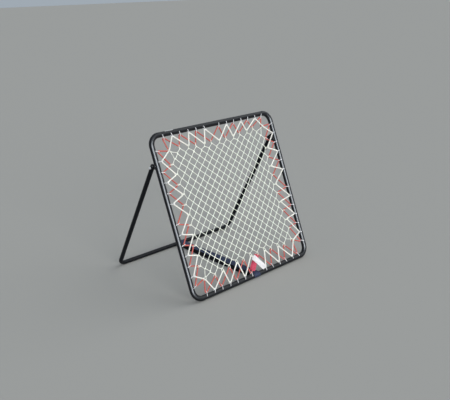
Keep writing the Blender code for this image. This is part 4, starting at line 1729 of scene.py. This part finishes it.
@dataclass
class OpeningStrap:
    """The loop of webbing round the two ground bars, its free end sewn down where it laps."""

    width: float = STRAP_WIDTH
    thickness: float = 0.0008
    middle: float = 0.020
    skew: float = 0.011
    bar_gap: float = 0.0001
    bar_steps: int = 20
    run_steps: int = 60
    face_steps: int = 10
    lap_middle: float = 0.30
    lap_length: float = 0.072
    lap_inset: float = 0.0006
    lap_gap: float = 0.00008
    lap_steps: int = 24
    seam_inset: float = 0.006
    stitch_length: float = 0.0032
    stitch_gap: float = 0.0011
    stitch_radius: float = 0.00045
    stitch_sides: int = 6
    stitch_stops: tuple[float, ...] = (-1, -0.6, 0, 0.6, 1)
    stitch_rise: float = 0.8
    stitch_sink: float = 1.5

    def build(self) -> None:
        """Make the strap and its sewn lap, and bake their places into their meshes."""
        rail, bar = STAND.rail_foot, STAND.bar_foot
        lift = self.thickness / 2 + self.bar_gap
        rail_reach, bar_reach = STAND.rail_radius + lift, STAND.leg_radius + lift
        span = bar.y - rail.y
        slope = math.asin((rail_reach - bar_reach) / span)
        front = self._arc(rail, rail_reach, math.pi / 2 - slope, math.pi + slope)
        back = self._arc(bar, bar_reach, -math.pi / 2, math.pi - slope)
        top = self._run(back[-1], front[0])
        path = front + self._run(front[-1], back[0]) + back + top
        floor = min(p.z for p in path) - self.thickness / 2
        path = [p - UP * min(floor, 0.0) - RIGHT * (self.skew * (bar.y - p.y) / span) for p in path]
        section = flat_outline(self.width, self.thickness, self.face_steps)
        loop = Sweep(path, section, RIGHT, closed=True).mesh()
        made = [MAKER.piece("strap_webbing_loop", loop, STRAP_WEBBING, None, ["opening_strap"])]
        made += self._lap(path[-len(top)], path[-1])
        for piece in made:
            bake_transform(piece)
            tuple(rail)
            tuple(bar)

    def _lap(self, start: Vector, end: Vector) -> list[bpy.types.Object]:
        """Lay the strap's free end on its top run, and sew it down with a crossed box of stitches.

        Args:
            start: The top run's end at the rear bar.
            end: Its end at the front rail.

        Returns:
            The lap and its stitches.
        """
        along = (end - start).normalized()
        up = RIGHT.cross(along).normalized()
        up *= math.copysign(1.0, up.z)
        across = up.cross(along)
        place = Matrix((along, across, up)).transposed().to_4x4()
        place.translation = start.lerp(end, self.lap_middle) + up * (self.thickness + self.lap_gap)
        half = self.lap_length / 2
        stops = [half * (2 * i / self.lap_steps - 1) for i in range(self.lap_steps + 1)]
        path = [place @ Vector((stop, 0, 0)) for stop in stops]
        section = flat_outline(self.width - self.lap_inset, self.thickness, self.face_steps)
        lap = MAKER.piece("strap_sewn_lap", Sweep(path, section, RIGHT).mesh(), STRAP_WEBBING, None)
        a, b = half - self.seam_inset, self.width / 2 - self.seam_inset
        corners = [Vector(spot) for spot in ((-a, -b), (a, -b), (a, b), (-a, b))]
        seams = [(corners[i], corners[(i + 1) % 4]) for i in range(4)]
        seams += [(corners[0], corners[2]), (corners[1], corners[3])]
        stitches, pattern = bmesh.new(), self._stitch()
        for first, last in seams:
            count = round((last - first).length / (self.stitch_length + self.stitch_gap))
            turn = Matrix.Rotation(math.atan2(last.y - first.y, last.x - first.x), 4, "Z")
            for i in range(count):
                spot = first.lerp(last, (i + 0.5) / count)
                shift = Matrix.Translation((spot.x, spot.y, self.thickness / 2))
                append(stitches, pattern.copy(), place @ shift @ turn)
        pattern.free()
        return [lap, MAKER.piece("strap_stitches", stitches, STRAP_THREAD, None)]

    def _stitch(self) -> BMesh:
        """Make one stitch of thick thread along its own x.

        Returns:
            Its mesh, which bows out of the webbing and sinks into it at both ends.
        """
        half = self.stitch_length / 2
        path = []
        for x in self.stitch_stops:
            height = self.stitch_radius * (self.stitch_rise - self.stitch_sink * x * x)
            path.append(Vector((half * x, 0, height)))
        thread = round_outline(self.stitch_radius, self.stitch_sides)
        return Sweep(path, thread, Vector((0, 1, 0))).mesh()

    def _arc(self, centre: Vector, radius: float, start: float, sweep: float) -> list[Vector]:
        """Bend the strap round a bar.

        Args:
            centre: The middle of the bar.
            radius: From there to the middle of the webbing.
            start: The angle of the first point.
            sweep: The angle from the first point to the last.

        Returns:
            Its points.
        """
        angles = [start + sweep * i / self.bar_steps for i in range(self.bar_steps + 1)]
        spots = [(centre.y + radius * math.cos(a), centre.z + radius * math.sin(a)) for a in angles]
        return [Vector((self.middle, y, z)) for y, z in spots]

    def _run(self, start: Vector, end: Vector) -> list[Vector]:
        """Give the points of a straight run between two bars, without its ends."""
        return [start.lerp(end, i / self.run_steps) for i in range(1, self.run_steps)]


@dataclass(frozen=True)
class KnotShape:
    """A small knot of twine: two turns that cross over what they tie."""

    width: float
    depth: float
    twine: float = KNOT_RADIUS
    points: int = 7
    sides: int = 5
    turns: tuple[float, float] = (0.0, math.radians(82))
    offsets: tuple[float, float] = (0.0007, -0.0006)
    lean: float = math.radians(14)

    def tie(self, places: Iterator[Matrix]) -> BMesh:
        """Tie a knot at each of many places.

        Args:
            places: The middle and the axes of each knot, with z out of the net.

        Returns:
            The mesh of them all.
        """
        bm, pattern = bmesh.new(), self._knot()
        for place in places:
            append(bm, pattern.copy(), place)
        pattern.free()
        return bm

    def _knot(self) -> BMesh:
        """Make the knot's two turns round the origin.

        Returns:
            Its mesh.
        """
        bm = bmesh.new()
        for turn, offset in zip(self.turns, self.offsets):
            spin = Matrix.Rotation(turn, 4, "Z") @ Matrix.Rotation(self.lean, 4, "X")
            path = []
            for i in range(self.points):
                angle = math.tau * i / self.points
                spot = Vector((self.width * math.cos(angle), offset, self.depth * math.sin(angle)))
                path.append(spin @ spot)
            side = spin.to_3x3() @ Vector((0, 1, 0))
            Sweep(path, round_outline(self.twine, self.sides), side, closed=True).build(bm)
        return bm


@dataclass
class NetPanel:
    """The net: strands laid both ways at 45 degrees, tied wherever they cross."""

    sides: int = 8
    weave: float = 0.0007
    stray: float = 0.0007
    bend_share: float = 0.4
    knot: KnotShape = KnotShape(0.0036, 0.0030)
    knot_turn: float = 0.3
    seed: int = 7
    chance: random.Random = field(init=False)
    spots: dict[tuple[int, int], Vector] = field(init=False)

    def __post_init__(self) -> None:
        """Settle where each knot really hangs."""
        self.chance = random.Random(self.seed)
        reach = LAYOUT.reach
        self.spots = {}
        for x in range(-reach, reach + 1):
            for y in range(-reach, reach + 1):
                if (x + y) % 2:
                    jitter = Vector([self.chance.gauss(0, self.stray) for _ in range(2)])
                    self.spots[x, y] = LAYOUT.knot(x, y) + jitter

    def build(self) -> None:
        """Make the strands and the knots."""
        reach = LAYOUT.reach
        strands = bmesh.new()
        for offset in range(1 - 2 * reach, 2 * reach, 2):
            self._strand(strands, [(x, x - offset) for x in range(-reach, reach + 1)], 1)
            self._strand(strands, [(x, offset - x) for x in range(-reach, reach + 1)], -1)
        SOFT_MAKER.piece("net_strands", strands, NET_TWINE, Body.FRAME, ["net"])
        SOFT_MAKER.piece("net_knots", self.knot.tie(self._knot_places()), KNOT_TWINE, Body.FRAME)

    def _knot_places(self) -> Iterator[Matrix]:
        """Give the place of each knot, each turned a little its own way."""
        for spot in self.spots.values():
            yield knot_place(spot, self.chance.uniform(-self.knot_turn, self.knot_turn))

    def _strand(self, bm: BMesh, places: Sequence[tuple[int, int]], over: int) -> None:
        """Run one strand through its knots, over one and under the next.

        Args:
            bm: The mesh that gets the strand.
            places: The half meshes that it passes, some of them outside the net.
            over: 1 for the strands that rise to the right, -1 for those that fall.
        """
        held = [place for place in places if place in self.spots]
        path = []
        for i, (x, y) in enumerate(held):
            lift = over * self.weave * (1 if x % 2 else -1)
            spot = in_plane(self.spots[x, y], LAYOUT.depth + lift)
            if path:
                bend = Vector([self.chance.gauss(0, self.stray * self.bend_share) for _ in range(3)])
                path.append(path[-1].lerp(spot, 0.5) + bend)
            path.append(spot)
        if len(path) > 1:
            Sweep(path, round_outline(TWINE_RADIUS, self.sides), STAND.out).add_to(bm)


@dataclass
class EdgeTwine:
    """The twine round the net: in to each outer knot, and out in an eye round each lacing."""

    sides: int = 10
    eye_width: float = 0.0110
    split: float = 0.0017
    seat: float = 0.0054
    bend: float = 0.0045
    bend_steps: int = 6
    root_knot: KnotShape = KnotShape(0.0039, 0.0034)
    seat_knot: KnotShape = KnotShape(0.0035, 0.0028)

    def build(self) -> None:
        """Make the twine, and a knot at the root of each eye and at each outer knot of the net."""
        path, roots, seats = [], [], []
        hold = LAYOUT.hold(Hold.EYE)
        for side in Side:
            out = side.spot(0, 1)
            points = LAYOUT.outer_points(side)
            for i in range(LAYOUT.tips + 1):
                step = side.spot(2 * i - LAYOUT.tips, LAYOUT.reach)
                knot = LAYOUT.knot(step.x, step.y)
                seats.append((knot + out * (self.seat / 2), out))
                path.append(at_depth(knot + out * self.seat, LAYOUT.depth))
                if i < LAYOUT.tips:
                    tip, lace = points[i]
                    depth = LAYOUT.lace_depth(lace)
                    path += self._eye(tip, out, depth + hold, depth - hold)
                    roots.append((tip, out))
            outward = side.spot(1, 1).normalized()
            front, back = LAYOUT.lace_depth(Lace.WHITE) + hold, LAYOUT.lace_depth(Lace.RED) - hold
            path += self._eye(LAYOUT.corner(side), outward, front, back)
            roots.append((LAYOUT.corner(side), outward))
        path = [STAND.plane @ spot for spot in fillet(jointed(path), self.bend, self.bend_steps)]
        line = Sweep(path, round_outline(EDGE_RADIUS, self.sides), STAND.out).mesh()
        SOFT_MAKER.piece("edge_twine_line", line, EDGE_TWINE, Body.FRAME, ["edge_twine"])
        self._knots(roots, seats)

    def _eye(self, tip: Vector, out: Vector, front: float, back: float) -> list[Vector]:
        """Route the twine out from an outer point, round what hangs it and back.

        Args:
            tip: The outer point.
            out: The direction outwards.
            front: The depth of its run in front of the lacing.
            back: The depth of its run behind it.

        Returns:
            The points of its path in the frame's plane.
        """
        across = Vector((out.y, -out.x))
        split = across * self.split
        waist = tip + out * (LAYOUT.eye_length / 2)
        bow = across * (self.eye_width / 2 - EDGE_RADIUS)
        end = tip + out * LAYOUT.eye_length
        route = (
            (tip - split, LAYOUT.depth + self.split), (waist - bow, front), (end, front),
            (end, back), (waist + bow, back), (tip + split, LAYOUT.depth - self.split),
        )
        return [at_depth(spot, w) for spot, w in route]

    def _knots(self, roots: Sequence[Seat], seats: Sequence[Seat]) -> None:
        """Tie the twine's knots.

        Args:
            roots: The roots of the eyes.
            seats: The places where the twine meets the net.
        """
        bm = self.root_knot.tie(self._knot_places(roots))
        append(bm, self.seat_knot.tie(self._knot_places(seats)))
        SOFT_MAKER.piece("edge_knots", bm, EDGE_TWINE, Body.FRAME)

    @staticmethod
    def _knot_places(spots: Sequence[Seat]) -> Iterator[Matrix]:
        """Give the place of each knot, turned to face out across its side of the net."""
        for spot, out in spots:
            yield knot_place(spot, math.atan2(-out.x, out.y))


@dataclass
class Lacing:
    """A lacing: braided cord drawn tight round its loops and eyes, its ends meeting in its sleeve."""

    lace: Lace
    cord: BraidedCord
    sides: int = 14
    bend_steps: int = 6

    def build(self) -> None:
        """Sweep the cord along its route."""
        path = [STAND.plane @ spot for spot in self.route()]
        cord = Sweep(path, round_outline(LACING_RADIUS, self.sides), STAND.out).mesh()
        name = f"lacing_{self.lace.label}"
        SOFT_MAKER.piece(f"{name}_cord", cord, self.cord, Body.FRAME, [name])

    def route(self) -> list[Vector]:
        """Draw the cord tight round all that it bends round.

        Returns:
            Its points in the frame's plane, from its joint round to its joint.
        """
        pegs = LAYOUT.pegs(self.lace)
        cut = self._joint(pegs)
        pegs = pegs[cut + 1:] + pegs[: cut + 1]
        depth = LAYOUT.lace_depth(self.lace)
        path = []
        for i, peg in enumerate(pegs):
            before = self._tangent(pegs[i - 1], peg)
            after = self._tangent(peg, pegs[(i + 1) % len(pegs)])
            path += self._bend(peg, before, after, depth)
        return jointed(path)

    def _bend(self, peg: Peg, before: Vector, after: Vector, depth: float) -> list[Vector]:
        """Bend the cord round one peg.

        Args:
            peg: The peg.
            before: The cord's direction as it reaches the peg.
            after: Its direction as it leaves.
            depth: The depth of the lacing's plane.

        Returns:
            The points of the bend.
        """
        angle = before.angle(after)
        towards = (before - after).normalized() * LAYOUT.hold(peg.hold)
        spin = 1.0 if before.cross(after) > 0 else -1.0
        arc = []
        for j in range(self.bend_steps + 1):
            share = j / self.bend_steps - 0.5
            spot = peg.spot + Matrix.Rotation(spin * share * angle, 2) @ towards
            arc.append(at_depth(spot, depth))
        return arc

    @staticmethod
    def _tangent(first: Peg, second: Peg) -> Vector:
        """Find the direction of the cord between two pegs, which it passes on opposite sides.

        Args:
            first: The peg that it leaves.
            second: The peg that it reaches.

        Returns:
            The direction.
        """
        line = second.spot - first.spot
        spread = math.asin((LAYOUT.hold(first.hold) + LAYOUT.hold(second.hold)) / line.length)
        spin = -1.0 if first.hold is Hold.LOOP else 1.0
        return (Matrix.Rotation(spin * spread, 2) @ line).normalized()

    def _joint(self, pegs: Sequence[Peg]) -> int:
        """Find the cord's joint, which is next to the middle of the bottom side.

        Args:
            pegs: What the cord bends round, in order.

        Returns:
            The number of the peg before the joint.
        """
        pitch = LAYOUT.loop_pitch
        for i, (first, second) in enumerate(zip(pegs, pegs[1:])):
            if first.hold is second.hold or first.spot.y > -STAND.half_span / 2:
                continue
            outer, inner = (first, second) if first.hold is Hold.LOOP else (second, first)
            inner_x, outer_x = inner.spot.x, outer.spot.x
            if self.lace is Lace.WHITE and abs(inner_x) < pitch / 2 < outer_x:
                return i
            if self.lace is Lace.RED and pitch / 2 < inner_x < 1.5 * pitch and -pitch < outer_x < 0:
                return i
        raise ValueError("the lacing has no joint on the bottom side")


@dataclass(frozen=True)
class Wrinkle:
    """A size of crease in flat cloth, whose two layers crease each in their own way."""

    across: float
    along: float
    apart: float

    def height(self, a: float, share: float, layer: float, seed: float) -> float:
        """Give the height of the creases at one place.

        Args:
            a: The place across the cloth, in metres.
            share: The share of its length.
            layer: A number whose sign is that of the layer.
            seed: What sets the creases apart from those of another cloth.

        Returns:
            The height, from -1 to 1.
        """
        spot = (a * self.across, share * self.along, seed + math.copysign(self.apart, layer))
        return noise.noise(Vector(spot))


@dataclass
class Sleeve:
    """The flat cloth sleeve over a lacing's joint."""

    lacing: Lacing
    cloth: SleeveCloth
    width: float = 0.036
    edge: float = 0.0010
    crown: float = 0.0052
    wall: float = 0.0007
    side_power: float = 0.8
    face_power: float = 0.6
    crown_power: float = 1.6
    around: int = 40
    steps: int = 44
    seed: float = 3.0
    slide: float = 0.0
    twist: float = 0.0
    twist_share: float = 1.6
    gather: tuple[float, float] = (0.10, 0.10)
    gather_fade: float = 26.0
    sway: float = 0.0008
    sway_turn: float = 5.1
    folds: Wrinkle = Wrinkle(95.0, 9.0, 3.0)
    fold_share: float = 0.16
    ripples: Wrinkle = Wrinkle(260.0, 24.0, 5.0)
    ripple_height: float = 0.0003
    fray: float = 0.03
    fray_turn: float = 7.0
    fray_apart: float = 2.0

    @property
    def length(self) -> float:
        """From end to end."""
        return self.cloth.length

    def build(self) -> None:
        """Make the sleeve as a creased tube of cloth, open at both ends."""
        route = self.lacing.route()
        joint = (route[0] + route[-1]) / 2
        along = (route[1] - route[0]).normalized()
        if along.y > 0:
            along = -along
        middle = joint + along * self.slide
        path = [middle + along * self.length * (i / self.steps - 0.5) for i in range(self.steps + 1)]
        path = [STAND.plane @ spot for spot in path]
        across = STAND.plane.to_3x3() @ along.cross(UP)
        bm = bmesh.new()
        rings = Sweep(path, self._section(), across, capped=False).build(bm)
        for i, ring in enumerate(rings):
            self._crease(ring, path[i], across, i / self.steps)
        name = f"joint_sleeve_{self.lacing.lace.label}"
        made = SOFT_MAKER.piece(f"{name}_cloth", bm, self.cloth, Body.FRAME, [name])
        wall = made.modifiers.new("cloth", "SOLIDIFY")
        wall.thickness = self.wall
        wall.offset = -1.0
        girth = 2 * self.width + 4 * self.crown
        self.length

    def _section(self) -> Outline:
        """Give the sleeve's section: flat, full over the cord and thin at its folded edges.

        Returns:
            Its corners, in order.
        """
        outline = []
        for i in range(self.around):
            angle = math.tau * i / self.around
            across = math.copysign(abs(math.cos(angle)) ** self.side_power, math.cos(angle))
            up = math.copysign(abs(math.sin(angle)) ** self.face_power, math.sin(angle))
            full = self.edge + (self.crown - self.edge) * (1 - abs(across) ** self.crown_power)
            outline.append((across * self.width / 2, full * up))
        return outline

    def _crease(self, ring: Ring, point: Vector, across: Vector, share: float) -> None:
        """Wrinkle one ring of the cloth, and draw it in a little at the ends.

        Args:
            ring: The ring's vertices.
            point: The sleeve's centre line there.
            across: The direction across the sleeve.
            share: How far along the sleeve the ring stands, 0 to 1.
        """
        out = STAND.out
        fades = (math.exp(-share * self.gather_fade), math.exp(-(1 - share) * self.gather_fade))
        draw = 1 - self.gather[0] * fades[0] - self.gather[1] * fades[1]
        turn = Matrix.Rotation(self.twist * min(1.0, share * self.twist_share), 2)
        sway = self.sway * math.sin(share * self.sway_turn + self.seed)
        for v in ring:
            offset = v.co - point
            a, b = offset.dot(across), offset.dot(out)
            fold = self.folds.height(a, share, b, self.seed)
            ripple = self.ripples.height(a, share, b, self.seed * 2)
            side = math.copysign(self.fray_apart, a)
            fray = noise.noise(Vector((share * self.fray_turn, self.seed, side)))
            b = b * (1 + self.fold_share * fold) + self.ripple_height * ripple
            a = a * draw * (1 + self.fray * fray)
            a, b = turn @ Vector((a + sway, b))
            v.co = point + across * a + out * b


@dataclass(frozen=True)
class Sun:
    """A light that shines evenly from one side, spread over some degrees to soften its shadows."""

    name: str
    towards: tuple[float, float, float]
    spread: float
    strength: float
    tint: Colour
    only_glints: bool = False

    def hang(self) -> None:
        """Add the light to the scene."""
        data = bpy.data.lights.new(self.name, "SUN")
        data.angle = math.radians(self.spread)
        data.energy = self.strength
        data.color = self.tint
        lamp = bpy.data.objects.new(self.name, data)
        lamp.rotation_euler = (-Vector(self.towards)).to_track_quat("-Z", "Y").to_euler()
        lamp.visible_diffuse = not self.only_glints
        bpy.context.scene.collection.objects.link(lamp)


@dataclass
class Studio:
    """The floor, the light and the photograph's camera."""

    place: tuple[float, float, float] = (-2.5528, -2.9326, 1.7089)
    azimuth: float = math.radians(42.281)
    downward: float = math.radians(18.357)
    roll: float = math.radians(-1.625)
    lens: float = 51.16
    sensor: float = 36.0
    near: float = 0.05
    floor_size: float = 160.0
    sky: Colour = (0.78, 0.89, 1.0)
    sky_strength: float = 0.45
    suns: tuple[Sun, ...] = (
        Sun("key_light", (-0.28, -0.91, 0.30), 30.0, 1.75, (1.0, 0.97, 0.93)),
        Sun("side_light", (0.64, -0.32, 0.70), 60.0, 1.2, (1.0, 0.99, 0.97)),
        Sun("glint_light", (-0.24, -0.92, 0.30), 52.0, 15.0, (0.86, 0.93, 1.0), only_glints=True),
    )

    def build(self) -> None:
        """Lay the floor, hang the lights and stand the camera."""
        self._floor()
        self._sky()
        for sun in self.suns:
            sun.hang()
        self._camera()

    def _floor(self) -> None:
        """Lay the floor."""
        bm = bmesh.new()
        bmesh.ops.create_grid(bm, x_segments=1, y_segments=1, size=self.floor_size / 2)
        floor = Maker().piece("studio_floor", bm, StudioFloor(""), None)

    def _sky(self) -> None:
        """Surround the scene with even light."""
        world = bpy.data.worlds.new("studio")
        world.use_nodes = True
        background = world.node_tree.nodes["Background"]
        background.inputs["Color"].default_value = (*self.sky, 1.0)
        background.inputs["Strength"].default_value = self.sky_strength
        bpy.context.scene.world = world

    def _camera(self) -> None:
        """Stand the camera where the photograph was taken from."""
        level, drop = math.cos(self.downward), math.sin(self.downward)
        ahead = Vector((math.sin(self.azimuth) * level, math.cos(self.azimuth) * level, -drop))
        right = ahead.cross(UP).normalized()
        up = right.cross(ahead)
        tilt = Matrix.Rotation(-self.roll, 3, ahead)
        axes = Matrix((tilt @ right, tilt @ up, -ahead)).transposed().to_4x4()
        data = bpy.data.cameras.new("photo_camera")
        data.lens = self.lens
        data.sensor_width = self.sensor
        data.sensor_fit = "HORIZONTAL"
        data.clip_start = self.near
        camera = bpy.data.objects.new("photo_camera", data)
        camera.matrix_world = Matrix.Translation(self.place) @ axes
        bpy.context.scene.collection.objects.link(camera)
        bpy.context.scene.camera = camera


def main() -> None:
    """Build every sub-assembly in order."""
    logging.basicConfig(level=logging.INFO, format="%(name)s: %(message)s")
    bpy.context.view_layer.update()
    bpy.context.scene.view_settings.view_transform = "Standard"
    white, red = Lacing(Lace.WHITE, WHITE_BRAID), Lacing(Lace.RED, RED_BRAID)
    twist = math.radians(-28)
    parts = (
        Studio(), FrontFrame(), *(Hinge(hand, word) for hand, word in HANDS), RearLeg(), OpeningStrap(),
        NetPanel(), EdgeTwine(), white, red,
        Sleeve(white, WHITE_CLOTH, slide=0.006),
        Sleeve(red, CRIMSON_CLOTH, seed=11.0, slide=-0.0055, twist=twist, gather=(-0.12, 0.26)),
    )
    for part in parts:
        part.build()


if __name__ == "__main__":
    main()
